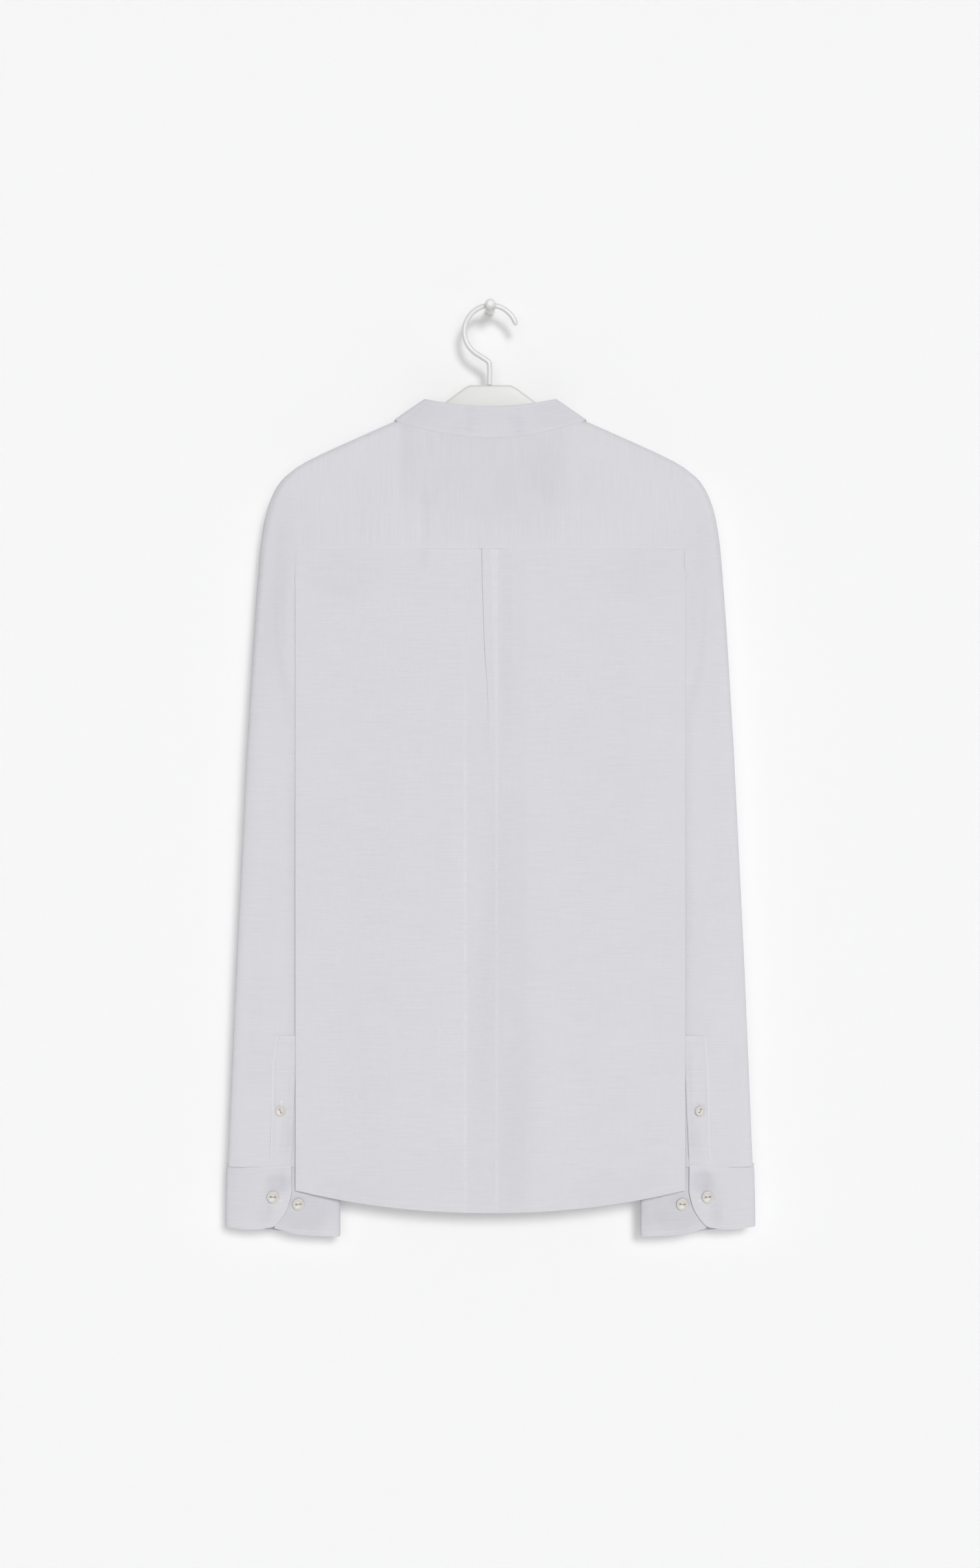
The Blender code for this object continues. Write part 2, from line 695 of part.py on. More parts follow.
def add_plackets(finish):
    """Each lies on the back of its sleeve, made from the sleeve's points moved out."""
    for name, hand in (("placket_right", 1), ("placket_left", -1)):
        grid = []
        for z in spread(PLACKET_TOP_Z, PLACKET_END_Z, 8):
            right, left = along(PLACKET_RIGHT, z), along(PLACKET_LEFT, z)
            row = []
            for x in spread(right, left, 4):
                lift = SEAM_GAP + PLACKET_WALL
                row.append(at_depth(hand * x, sleeve_section(x, z) + lift, z, BACK))
            grid.append(row)
        cloth(name, grid, PLACKET_WALL, finish, flip=hand > 0)


# ---- buttons ----


def turned(name, profile, sides, finish, matrix):
    """A closed turned piece. profile rows are distance along the axis, radius and, if off it, height."""
    bm = bmesh.new()
    rings = []
    for length, radius, *raised in profile:
        ring = []
        middle = raised[0] if raised else 0.0
        for k in range(sides):
            angle = 2 * math.pi * k / sides
            point = Vector((radius * math.cos(angle), radius * math.sin(angle) + middle, length))
            ring.append(bm.verts.new(point * MM))
        rings.append(ring)
    for low, high in zip(rings, rings[1:]):
        for k in range(sides):
            bm.faces.new((low[k], low[(k + 1) % sides], high[(k + 1) % sides], high[k]))
    bm.faces.new(rings[0][::-1])
    bm.faces.new(rings[-1])
    made = add_object(name, bm, finish)
    made.matrix_world = matrix
    return made


def button(name, place, side, size, finish, tilt=0.0):
    """A round button with a raised rim. place is the x, half depth and height of its back's middle."""
    width, thick = size
    profile = [(length * thick, radius * width / 2) for length, radius in BUTTON_PROFILE]
    moved = Matrix.Translation(Vector(at_depth(*place, side)) * MM)
    face_out = Matrix.Rotation(math.radians(90 if side == BACK else -90) + tilt, 4, "X")
    turned(name, profile, BUTTON_SIDES, finish, moved @ face_out)


def add_buttons(finish):
    for side_name, hand in (("right", 1), ("left", -1)):
        for place, x, z, depth in CUFF_BUTTONS:
            name = f"cuff_button_{side_name}_{place}"
            button(name, (hand * x, depth + SEAM_GAP, z), BACK, BUTTON, finish)
        depth = sleeve_section(PLACKET_BUTTON_X, PLACKET_BUTTON_Z) + 2 * SEAM_GAP + PLACKET_WALL
        place = (hand * PLACKET_BUTTON_X, depth, PLACKET_BUTTON_Z)
        button(f"placket_button_{side_name}", place, BACK, SMALL_BUTTON, finish)
    lap = (WALL + LAP_GAP) / 2
    for k in range(FRONT_BUTTONS):
        z = FRONT_BUTTON_TOP_Z - FRONT_BUTTON_STEP * k
        button(f"front_button_{k + 1}", (0.0, half_depth(0, z) + lap + SEAM_GAP, z), FRONT, BUTTON, finish)
    low_z, high_z = NECK_TOP_Z - NECK_FRONT_DROP, COLLAR_PEAK_Z - COLLAR_FRONT_DROP
    low = half_depth(0, low_z)
    lean = math.atan((COLLAR_TOP_DEPTH - low) / (high_z - low_z))
    depth = (low + COLLAR_TOP_DEPTH) / 2 + (COLLAR_WALL + LAP_GAP) / 2 + SEAM_GAP
    button("collar_button", (0.0, depth, (low_z + high_z) / 2), FRONT, SMALL_BUTTON, finish, -lean)


# ---- hanger and peg ----


def add_hanger(finish):
    """A moulded bar: arms under the shoulders and a hump that carries the hook."""
    right = [*HANGER_TOP, *HANGER_BOTTOM]
    outline = right + [(-x, z) for x, z in reversed(right) if x > 0]
    bm = bmesh.new()
    front = [bm.verts.new(Vector((x, MID_Y - HANGER_T / 2, z)) * MM) for x, z in outline]
    back = [bm.verts.new(Vector((x, MID_Y + HANGER_T / 2, z)) * MM) for x, z in outline]
    bm.faces.new(front)
    bm.faces.new(back[::-1])
    for k in range(len(front)):
        after = (k + 1) % len(front)
        bm.faces.new((front[k], back[k], back[after], front[after]))
    bmesh.ops.recalc_face_normals(bm, faces=bm.faces)
    rims = [e for e in bm.edges if abs(e.verts[0].co.y - e.verts[1].co.y) < MM]
    bmesh.ops.bevel(bm, geom=rims, offset=HANGER_BEVEL * MM, segments=2, profile=0.5, affect="EDGES")
    add_object("hanger", bm, finish)


def hook_route():
    """From the open end over the peg, round the far side and down to the hanger's hump."""
    route = []
    for step in range(25):
        angle = math.radians(HOOK_END_ANGLE + HOOK_SPAN * step / 24)
        x, z = HOOK_CENTRE_X + HOOK_R * math.cos(angle), HOOK_CENTRE_Z + HOOK_R * math.sin(angle)
        route.append((x, 0.0, z))
    stem_end = (HOOK_STEM_X, 0.0, HANGER_TOP[0][1] + SEAM_GAP)
    bend = spline([route[-1], *((x, 0.0, z) for x, z in HOOK_BEND), stem_end], 12)
    return [Vector(p) for p in route[:-1]] + bend


def add_hook(finish):
    curve = bpy.data.curves.new("hanger_hook", "CURVE")
    curve.dimensions = "3D"
    curve.bevel_depth = HOOK_D / 2 * MM
    curve.bevel_resolution = 2
    curve.use_fill_caps = True
    route = hook_route()
    line = curve.splines.new("POLY")
    line.points.add(len(route) - 1)
    for point, place in zip(line.points, route):
        point.co = (place.x * MM, MID_Y * MM, place.z * MM, 1.0)
    curve.materials.append(finish)
    made = bpy.data.objects.new("hanger_hook", curve)
    bpy.context.collection.objects.link(made)


def main():
    for old in list(bpy.data.objects):
        bpy.data.objects.remove(old)
    linen = material("pale linen", (0.686, 0.679, 0.716), 0.85)
    ivory = material("ivory button", (0.66, 0.63, 0.56), 0.35)
    white = material("white plastic", (0.79, 0.79, 0.78), 0.4)
    add_body(linen)
    add_yoke(linen)
    add_collar(linen)
    add_sleeves(linen)
    add_cuffs(linen)
    add_plackets(linen)
    add_buttons(ivory)
    add_hanger(white)
    add_hook(white)
    turned("wall_peg", PEG, 20, white, Matrix.Rotation(math.radians(90), 4, "X"))


main()
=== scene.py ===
import math

import bmesh
import bpy
import numpy as np
from mathutils import Matrix, Vector


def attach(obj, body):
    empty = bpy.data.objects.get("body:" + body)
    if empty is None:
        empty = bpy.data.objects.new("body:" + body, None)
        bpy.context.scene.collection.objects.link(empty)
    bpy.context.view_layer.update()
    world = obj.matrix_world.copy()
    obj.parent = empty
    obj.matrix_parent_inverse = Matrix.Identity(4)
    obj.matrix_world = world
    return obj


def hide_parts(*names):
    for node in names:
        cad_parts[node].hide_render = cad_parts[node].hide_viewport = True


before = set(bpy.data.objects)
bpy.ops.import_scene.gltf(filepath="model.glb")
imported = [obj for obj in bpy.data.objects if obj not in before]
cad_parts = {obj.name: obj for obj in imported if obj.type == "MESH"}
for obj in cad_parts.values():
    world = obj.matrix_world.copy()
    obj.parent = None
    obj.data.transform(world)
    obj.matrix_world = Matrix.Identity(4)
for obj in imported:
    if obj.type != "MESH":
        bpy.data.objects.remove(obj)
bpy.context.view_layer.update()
print("frame loaded")

mm = 0.001
back, front = -1, 1  # sides of the hanger's middle plane

# How the shirt hangs: millimetres, heights from the peg, depths from the hanger's middle plane
hang = {
    "middleY": -27.0,
    "edgeX": 184.0,  # where back and fronts fold inwards
    "foldRadius": 0.5,
    "sideSeamX": 100.0,
    "bodyDepth": 18.0,
    "edgeSlack": 3.4,
    "hemSlack": 3.0,  # more of it towards the hem
    "hemSlackTopZ": -560.0,
    "hemSlackRun": 260.0,
    "settle": 130.0,  # from the shoulder ridge down to the full depth
    "ridgeRadius": 6.7,
    "foldTopZ": -247.0,
    "underarmZ": -397.0,
    "curlRun": 30.0,
    "armholePower": 1.67,
    "neckX": 91.0,
    "neckTopZ": -110.0,
    "neckBackZ": -128.0,
    "neckPower": 1.9,
    "neckFrontDrop": 78.0,
    "neckDepth": 16.0,
    "neckRound": 2.5,
    "yokeZ": -232.0,
    "frontYokeDrop": 30.0,
    "shoulder": ((91.0, -110.0), (125.0, -125.1), (158.0, -140.0), (174.0, -148.0), (184.0, -154.0)),
}
flatU = hang["edgeX"] - hang["foldRadius"]
curlU = flatU + math.pi * hang["foldRadius"]


def smooth(t):
    t = np.clip(t, 0.0, 1.0)
    return t * t * (3 - 2 * t)


def bell(off, width):
    return np.exp(-((off / width) ** 2))


def sideBySide(*parts):
    return np.stack(np.broadcast_arrays(*parts), axis=-1)


def readTable(rows, at):
    keys, values = zip(*sorted(rows))
    return np.interp(at, keys, values)


def runAlong(line):
    # how far each point of a line lies from its start, along the line
    return np.concatenate([[0.0], np.cumsum(np.linalg.norm(np.diff(line, axis=0), axis=-1))])


def readLine(line, run, at):
    return sideBySide(*(np.interp(at, run, values) for values in line.T))


def ridgeZ(x):
    return np.where(np.abs(x) <= hang["neckX"], hang["neckTopZ"], readTable(hang["shoulder"], np.abs(x)))


def halfDepth(x, z):
    x = np.abs(x)
    drop = np.maximum(ridgeZ(x) - z, 0.0)
    neck = hang["neckDepth"] * np.sqrt(np.maximum(0.0, 1 - (x / hang["neckX"]) ** hang["neckRound"]))
    cap = np.maximum(0.0, hang["ridgeRadius"] - neck)
    rounded = np.sqrt(1 - (1 - np.minimum(drop / hang["ridgeRadius"], 1.0)) ** 2)
    slack = hang["edgeSlack"] + hang["hemSlack"] * smooth((hang["hemSlackTopZ"] - z) / hang["hemSlackRun"])
    full = hang["bodyDepth"] - slack * np.minimum(x / hang["edgeX"], 1.0) ** 2
    return neck + cap * rounded + (full - neck - cap) * smooth(drop / hang["settle"])


def neckBackZ(x):
    rise = hang["neckTopZ"] - hang["neckBackZ"]
    return hang["neckBackZ"] + rise * np.minimum(np.abs(x) / hang["neckX"], 1.0) ** hang["neckPower"]


def neckFrontZ(x):
    return hang["neckTopZ"] - hang["neckFrontDrop"] * np.sqrt(np.maximum(0.0, 1 - (x / hang["neckX"]) ** 2))


def pocketDepth(z):
    return halfDepth(flatU, z) - 2 * hang["foldRadius"]


def edgeU(z):
    # u is the distance from the centre along the cloth, here to the armhole or the side seam
    pocket = pocketDepth(z)
    seam = curlU + flatU - hang["sideSeamX"] - pocket + pocket * math.pi / 2
    share = np.clip((hang["foldTopZ"] - z) / (hang["foldTopZ"] - hang["underarmZ"]), 0.0, 1.0)
    return hang["edgeX"] + (seam - hang["edgeX"]) * share ** hang["armholePower"]


def sidePath(u, z):
    # x and depth at u: flat, round the folded edge, inwards, and round to the side seam
    radius = hang["foldRadius"] / np.maximum(smooth((hang["foldTopZ"] - z) / hang["curlRun"]), 0.02)
    angle = (np.clip(u, flatU, curlU) - flatU) / radius
    pocket = pocketDepth(z)
    run = np.clip(u - curlU, 0.0, flatU - hang["sideSeamX"] - pocket)
    turn = np.maximum(0.0, u - curlU - run) / pocket
    x = flatU + radius * np.sin(angle) - run - pocket * np.sin(turn)
    depth = halfDepth(flatU, z) - radius * (1 - np.cos(angle)) - pocket * (1 - np.cos(turn))
    return np.where(u <= flatU, u, x), np.where(u <= flatU, halfDepth(u, z), depth)


# creases


def creaseLift(creases, u, z):
    # each crease runs from one place to another: a trough where lift is below 0, a ridge above
    total = np.zeros(np.broadcast(u, z).shape)
    for startU, startZ, endU, endZ, width, lift, bow in creases:
        runU, runZ = endU - startU, endZ - startZ
        length = math.hypot(runU, runZ)
        along = ((u - startU) * runU + (z - startZ) * runZ) / length**2
        aside = ((u - startU) * runZ - (z - startZ) * runU) / length
        inside = np.clip(along, 0.0, 1.0)
        aside = aside - bow * 4 * inside * (1 - inside)
        fade = smooth(along / 0.35 + 0.15) * smooth((1 - along) / 0.4 + 0.1)  # softer at both ends
        total = total + lift * fade * bell(aside, width)
    return total


def softWaves(waves, u, z, hand=0):
    # slow unevenness of cloth that hangs free, from three waves of different lengths
    size, seed, startZ, run = waves
    seed = seed + hand
    return size * smooth((startZ - z) / run) * (
        0.5 * np.sin(u / 31 + 1.3 * np.sin(z / 83 + seed) + seed)
        + 0.3 * np.sin(u / 17 - z / 61 + 2.1 * seed)
        + 0.2 * np.sin(z / 23 + u / 47 + 3.7 * seed)
    )


def sewnEdges(share, band):
    # across a stitched band, from 0 to 1: both edges are rounded off, and each row of stitches pulls in
    first, last, over = band["edges"]
    lift = -first * (1 - smooth(share / over)) - last * (1 - smooth((1 - share) / over))
    return lift - sum(pull * bell(share - at, band["pinchWidth"]) for at, pull in band["pinches"])


# meshes

edgeAngle = math.radians(50)  # sharper turns than this are edges of the cloth

stitch = {
    "pitch": 2.5,
    "length": 1.9,
    "width": 0.42,
    "proud": 0.2,
    "sunk": 0.1,
    # eight corners: an end, three across at a quarter, three at three quarters, and the other end
    "faces": ((0, 2, 1), (0, 3, 2), (1, 2, 5, 4), (2, 3, 6, 5), (7, 4, 5), (7, 5, 6)),
}

buttonhole = {
    "sides": 24,
    # past the slit's end, half width and height of each ring, from inside the slit outwards
    "profile": ((0.0, 0.16, -0.3), (0.0, 0.2, 0.1), (0.25, 0.42, 0.26), (0.5, 0.62, 0.1), (0.5, 0.64, -0.3)),
    "bar": 0.5,
    "widen": 1.15,
    "squareness": 0.2,
}


def place(x, depth, z, side):
    # an array of points in millimetres, from arrays of x, depth and height
    return sideBySide(x, hang["middleY"] + side * depth, z)


def addObject(name, data):
    made = bpy.data.objects.new(name, data)
    bpy.context.collection.objects.link(made)
    return made


def dress(piece, finish, nodes):
    piece.data.materials.append(finish)
    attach(piece, "root")
    if nodes:
        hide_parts(*nodes)


def makeCloth(name, points, flat, settings, finish, node, closed=False, flip=False):
    # points and flat are grids: the outer face in space, and the same cloth laid flat
    rows, columns = points.shape[:2]
    spots, flatSpots = np.reshape(points, (-1, 3)) * mm, np.reshape(flat, (-1, 2)) * mm
    faces = []
    for r in range(rows - 1):
        for c in range(columns if closed else columns - 1):
            here, beside = r * columns + c, r * columns + (c + 1) % columns
            corners = [here, beside, beside + columns, here + columns]
            if not np.isnan(spots[corners]).any():
                faces.append(corners[::-1] if flip else corners)
    used = sorted({k for face in faces for k in face})
    renumber = {k: i for i, k in enumerate(used)}
    mesh = bpy.data.meshes.new(name)
    mesh.from_pydata(spots[used].tolist(), [], [[renumber[k] for k in face] for face in faces])
    flatMap = mesh.uv_layers.new(name="flatCloth")
    for face, polygon in zip(faces, mesh.polygons):
        closes = {k % columns for k in face} == {0, columns - 1}  # the last strip of a tube
        for loop, k in zip(polygon.loop_indices, face):
            u, v = flatSpots[k]
            if closes and k % columns == 0:
                u = 2 * flatSpots[k + columns - 1][0] - flatSpots[k + columns - 2][0]
            flatMap.uv[loop].vector = (u, v)
    mesh.shade_smooth()
    piece = addObject(name, mesh)
    wall = piece.modifiers.new("thickness", "SOLIDIFY")
    wall.thickness, wall.offset = settings["thickness"] * mm, -1
    if "softEdge" in settings:
        rim = piece.modifiers.new("soft edge", "BEVEL")
        rim.width, rim.segments, rim.harden_normals = settings["softEdge"] * mm, 2, True
        rim.limit_method, rim.angle_limit = "ANGLE", edgeAngle
    else:
        piece.modifiers.new("crisp edge", "EDGE_SPLIT").split_angle = edgeAngle
    dress(piece, finish, [node])
    return piece


def alongRow(grid, at):
    # a line across the columns of a grid, at rows that may lie between two of them
    at = np.broadcast_to(np.asarray(at, float), grid.shape[1])
    low = np.minimum(at.astype(int), len(grid) - 2)
    share, columns = (at - low)[:, None], np.arange(grid.shape[1])
    return grid[low, columns] * (1 - share) + grid[low + 1, columns] * share


def sew(name, points, flip, *lines):
    # stitches along lines on the cloth; each line is a function that picks it from a grid
    outward = np.cross(np.gradient(points, axis=1), np.gradient(points, axis=0))
    outward *= (-1 if flip else 1) / np.linalg.norm(outward, axis=-1)[..., None]
    verts, faces = [], []
    for pick in lines:
        line = pick(points)
        run = runAlong(line)
        count = max(1, int(run[-1] / stitch["pitch"]))
        middle, reach = (np.arange(count) + 0.5) * run[-1] / count, stitch["length"] / 2
        ahead, behind = readLine(line, run, middle + reach), readLine(line, run, middle - reach)
        for start, end, up in zip(behind, ahead, readLine(pick(outward), run, middle)):
            side = np.cross(up, end - start)
            side *= stitch["width"] / 2 / max(np.linalg.norm(side), 1e-6)
            up = up / np.linalg.norm(up)
            faces += [[len(verts) + k for k in face] for face in stitch["faces"]]
            verts.append(start - stitch["sunk"] * up)
            for share in (0.25, 0.75):
                spot = start + (end - start) * share
                low = spot - stitch["sunk"] * up
                verts += [low + side, spot + stitch["proud"] * up, low - side]
            verts.append(end - stitch["sunk"] * up)
    mesh = bpy.data.meshes.new(name)
    mesh.from_pydata((np.array(verts) * mm).tolist(), [], faces)
    mesh.shade_smooth()
    dress(addObject(name, mesh), thread, [])


def turns(count):
    return [2 * math.pi * k / count for k in range(count)]


def joinRings(bm, rings, finish=0):
    # faces from each ring of corners to the next; a ring may be a single corner
    for low, high in zip(rings, rings[1:]):
        count = max(len(low), len(high))
        for k in range(count):
            after = (k + 1) % count
            corners = [low[k % len(low)], low[after % len(low)], high[after % len(high)], high[k % len(high)]]
            bm.faces.new(list(dict.fromkeys(corners))).material_index = finish


def finishMesh(bm, name, sharpAngle=None):
    bmesh.ops.recalc_face_normals(bm, faces=bm.faces)
    mesh = bpy.data.meshes.new(name)
    bm.to_mesh(mesh)
    bm.free()
    mesh.shade_smooth()
    if sharpAngle:
        mesh.set_sharp_from_angle(angle=math.radians(sharpAngle))
    return mesh


def makeButtonhole(name, side, depth, *ends):
    # two rows of close stitches with a slit between them, and a bar at each end
    start, end = (Vector((x, hang["middleY"] + side * depth, z)) for x, z in ends)
    outward, along = Vector((0.0, side, 0.0)), (end - start).normalized()
    across = outward.cross(along)
    bm = bmesh.new()
    rings = []
    for reach, wide, up in buttonhole["profile"]:
        half = (end - start).length / 2 - buttonhole["bar"] + reach
        ring = []
        for angle in turns(buttonhole["sides"]):
            squared = math.copysign(abs(math.cos(angle)) ** buttonhole["squareness"], math.cos(angle))
            spot = (start + end) / 2 + across * wide * math.sin(angle) * buttonhole["widen"]
            spot += along * half * squared
            ring.append(bm.verts.new((spot + outward * up) * mm))
        rings.append(ring)
    joinRings(bm, rings)
    dress(addObject(name, finishMesh(bm, name)), thread, [])


# materials


def newGroup(name, inputs, outputs):
    # an input is a number, or a vector where its value is three numbers or none
    group = bpy.data.node_groups.new(name, "ShaderNodeTree")
    for label, value in inputs.items():
        kind = "NodeSocketFloat" if isinstance(value, float) else "NodeSocketVector"
        socket = group.interface.new_socket(name=label, in_out="INPUT", socket_type=kind)
        if value is not None:
            socket.default_value = value
    for label in outputs:
        group.interface.new_socket(name=label, in_out="OUTPUT", socket_type="NodeSocketFloat")
    return group, group.nodes.new("NodeGroupInput").outputs, group.nodes.new("NodeGroupOutput")


def setInputs(tree, node, inputs):
    # each input gets a value, or a link where another node's output is given
    for key, value in inputs.items():
        if isinstance(value, bpy.types.NodeSocket):
            tree.links.new(value, node.inputs[key])
        else:
            node.inputs[key].default_value = value


def addNode(tree, kind, inputs, **settings):
    node = tree.nodes.new(kind)
    for key, value in settings.items():
        setattr(node, key, value)
    setInputs(tree, node, inputs)
    return node


def addMath(tree, operation, *values):
    return addNode(tree, "ShaderNodeMath", dict(enumerate(values)), operation=operation).outputs[0]


def addVectorMath(tree, operation, first, second):
    return addNode(tree, "ShaderNodeVectorMath", {0: first, 1: second}, operation=operation).outputs[0]


def addNoise(tree, dimensions, inputs):
    return addNode(tree, "ShaderNodeTexNoise", inputs, noise_dimensions=dimensions).outputs["Fac"]


def makeLinenWeave():
    # plain weave of slubby yarn: thick places in the yarns show as short streaks both ways
    group, given, made = newGroup(
        "linenWeave", {"Vector": None, "Yarn Pitch": 0.0006, "Weft Slubs": 1.0, "Warp Slubs": 0.5},
        ("Height", "Tone", "Slubs"),
    )
    where = given["Vector"]
    split = addNode(group, "ShaderNodeSeparateXYZ", {0: where}).outputs
    rate = addMath(group, "DIVIDE", 2 * math.pi, given["Yarn Pitch"])
    wobble = addNoise(group, "2D", {"Vector": where, "Scale": 240.0, "Detail": 1.0})
    shift = addMath(group, "MULTIPLY", wobble, 5.0)
    yarns = [addMath(group, "MULTIPLY_ADD", split[axis], rate, shift) for axis in ("X", "Y")]
    weave = addMath(group, "MULTIPLY", *(addMath(group, "SINE", yarn) for yarn in yarns))
    slubs = 0.0
    for label, stretch in (("Weft Slubs", (26.0, 980.0, 1.0)), ("Warp Slubs", (980.0, 30.0, 1.0))):
        spread = addVectorMath(group, "MULTIPLY", where, stretch)
        streaks = addNoise(group, "2D", {"Vector": spread, "Scale": 1.0, "Detail": 2.0, "Roughness": 0.6})
        streaks = addMath(group, "MULTIPLY", addMath(group, "SUBTRACT", streaks, 0.5), 2.0)
        slubs = addMath(group, "MULTIPLY_ADD", streaks, given[label], slubs)
    cloudy = addNoise(group, "2D", {"Vector": where, "Scale": 19.0, "Detail": 3.0})
    tone = addMath(group, "MULTIPLY_ADD", slubs, 0.5, 0.5)
    tone = addMath(group, "MULTIPLY_ADD", addMath(group, "SUBTRACT", cloudy, 0.5), 0.1, tone)
    tone = addMath(group, "MULTIPLY_ADD", weave, 0.08, tone)
    height = addMath(group, "MULTIPLY_ADD", slubs, 0.8, weave)
    setInputs(group, made, {"Height": height, "Tone": tone, "Slubs": slubs})
    return group


def makePaintedShadeAndHighlight():
    # painted shade and painted highlight on the cloth: a soft patch, 1 in its middle
    group, given, made = newGroup(
        "paintedShadeAndHighlight", {"Vector": None, "Middle": (0.0, 0.0, 0.0), "Reach": (0.1, 0.1, 1.0)}, ["Mask"]
    )
    ragged = addNoise(group, "2D", {"Vector": given["Vector"], "Scale": 70.0, "Detail": 3.0})
    away = addVectorMath(group, "SUBTRACT", given["Vector"], given["Middle"])
    share = addVectorMath(group, "DIVIDE", away, given["Reach"])
    length = addNode(group, "ShaderNodeVectorMath", {0: share}, operation="LENGTH").outputs["Value"]
    edge = addMath(group, "MULTIPLY_ADD", addMath(group, "SUBTRACT", ragged, 0.5), 0.5, length)
    ends = {"Value": edge, "From Min": 0.25, "From Max": 1.0, "To Min": 1.0, "To Max": 0.0}
    fade = addNode(group, "ShaderNodeMapRange", ends, interpolation_type="SMOOTHSTEP")
    setInputs(group, made, {"Mask": fade.outputs["Result"]})
    return group


def makePlasticGrain():
    group, given, made = newGroup(
        "plasticGrain", {"Scale": 60.0, "Roughness": 0.4, "Uneven": 0.1}, ("Roughness", "Height", "Tone")
    )
    where = addNode(group, "ShaderNodeTexCoord", {}).outputs["Object"]
    slow = addNoise(group, "3D", {"Vector": where, "Scale": given["Scale"], "Detail": 4.0})
    fineScale = addMath(group, "MULTIPLY", given["Scale"], 22.0)
    fine = addNoise(group, "3D", {"Vector": where, "Scale": fineScale, "Detail": 1.0})
    centred = addMath(group, "SUBTRACT", slow, 0.5)
    rough = addMath(group, "MULTIPLY_ADD", centred, given["Uneven"], given["Roughness"])
    height = addMath(group, "MULTIPLY_ADD", fine, 0.3, slow)
    setInputs(group, made, {"Roughness": rough, "Height": height, "Tone": slow})
    return group


def newFinish(name):
    finish = bpy.data.materials.new(name)
    finish.use_nodes = True
    return finish, finish.node_tree, finish.node_tree.nodes["Principled BSDF"]


def setSurface(tree, shader, look, tone, rough, height):
    # what changes over the surface: colour from dark to light, roughness and bump
    ends = {0: tone, 6: (*look["dark"], 1.0), 7: (*look["light"], 1.0)}
    colour = addNode(tree, "ShaderNodeMix", ends, data_type="RGBA").outputs[2]
    relief = {"Height": height, "Strength": look["bump"], "Distance": look["bumpDistance"]}
    normal = addNode(tree, "ShaderNodeBump", relief).outputs[0]
    setInputs(tree, shader, {"Base Color": colour, "Roughness": rough, "Normal": normal})


linenLook = {
    "yarnPitch": 0.00062,
    "weftSlubs": 0.3,
    "warpSlubs": 0.12,
    "dark": (0.618, 0.611, 0.65),
    "light": (0.824, 0.817, 0.85),
    "roughness": 0.85,
    "slubShine": -0.06,
    "bump": 0.35,
    "bumpDistance": 0.0002,
    "sheen": 0.12,
    "sheenRoughness": 0.6,
    "specular": 0.25,
    # patches of painted shade: middle and reach in millimetres on the flat cloth, and how strong; a strength
    # below 0 makes a painted highlight
    "beneath": (),
}


def makeLinen(name, **changes):
    look = {**linenLook, **changes}
    finish, tree, shader = newFinish(name)
    flat = addNode(tree, "ShaderNodeUVMap", {}, uv_map="flatCloth").outputs[0]
    cloth = addNode(tree, "ShaderNodeGroup", {
        "Vector": flat, "Yarn Pitch": look["yarnPitch"], "Weft Slubs": look["weftSlubs"],
        "Warp Slubs": look["warpSlubs"],
    }, node_tree=linenWeave).outputs
    tone = cloth["Tone"]
    # each patch darkens the cloth's tone as painted shade; one with a strength below 0 lightens it as a
    # painted highlight
    for (x, z), (reachX, reachZ), amount in look["beneath"]:
        patch = addNode(tree, "ShaderNodeGroup", {
            "Vector": flat, "Middle": (x * mm, z * mm, 0.0), "Reach": (reachX * mm, reachZ * mm, 1.0),
        }, node_tree=paintedShadeAndHighlight)
        tone = addMath(tree, "MULTIPLY_ADD", patch.outputs["Mask"], -amount, tone)
    rough = addMath(tree, "MULTIPLY_ADD", cloth["Slubs"], look["slubShine"], look["roughness"])
    setSurface(tree, shader, look, tone, rough, cloth["Height"])
    setInputs(tree, shader, {
        "Sheen Weight": look["sheen"], "Sheen Roughness": look["sheenRoughness"],
        "Specular IOR Level": look["specular"],
    })
    return finish


def bothHands(*patches):
    # the same patches on the right piece and on the left one
    return [((hand * x, z), reach, amount) for (x, z), reach, amount in patches for hand in (1, -1)]


def makePlastic(name, grainScale, roughness, uneven, bump, coat, dark, light):
    finish, tree, shader = newFinish(name)
    values = {"Scale": grainScale, "Roughness": roughness, "Uneven": uneven}
    surface = addNode(tree, "ShaderNodeGroup", values, node_tree=plasticGrain).outputs
    look = {"dark": dark, "light": light, "bump": bump, "bumpDistance": 0.0002}
    setSurface(tree, shader, look, surface["Tone"], surface["Roughness"], surface["Height"])
    setInputs(tree, shader, {"Coat Weight": coat, "Coat Roughness": 0.2})
    return finish


plastics = {
    # grain scale, roughness, unevenness, bump, coat, dark and light colour
    "ivoryButton": (90.0, 0.3, 0.15, 0.1, 0.3, (0.6, 0.57, 0.53), (0.76, 0.73, 0.69)),
    "hangerPlastic": (40.0, 0.42, 0.12, 0.15, 0.1, (0.69, 0.689, 0.675), (0.745, 0.743, 0.727)),
    "coatedWire": (70.0, 0.3, 0.1, 0.1, 0.3, (0.72, 0.72, 0.715), (0.78, 0.78, 0.77)),
    "paintedPeg": (80.0, 0.45, 0.1, 0.2, 0.1, (0.76, 0.76, 0.74), (0.83, 0.83, 0.81)),
}

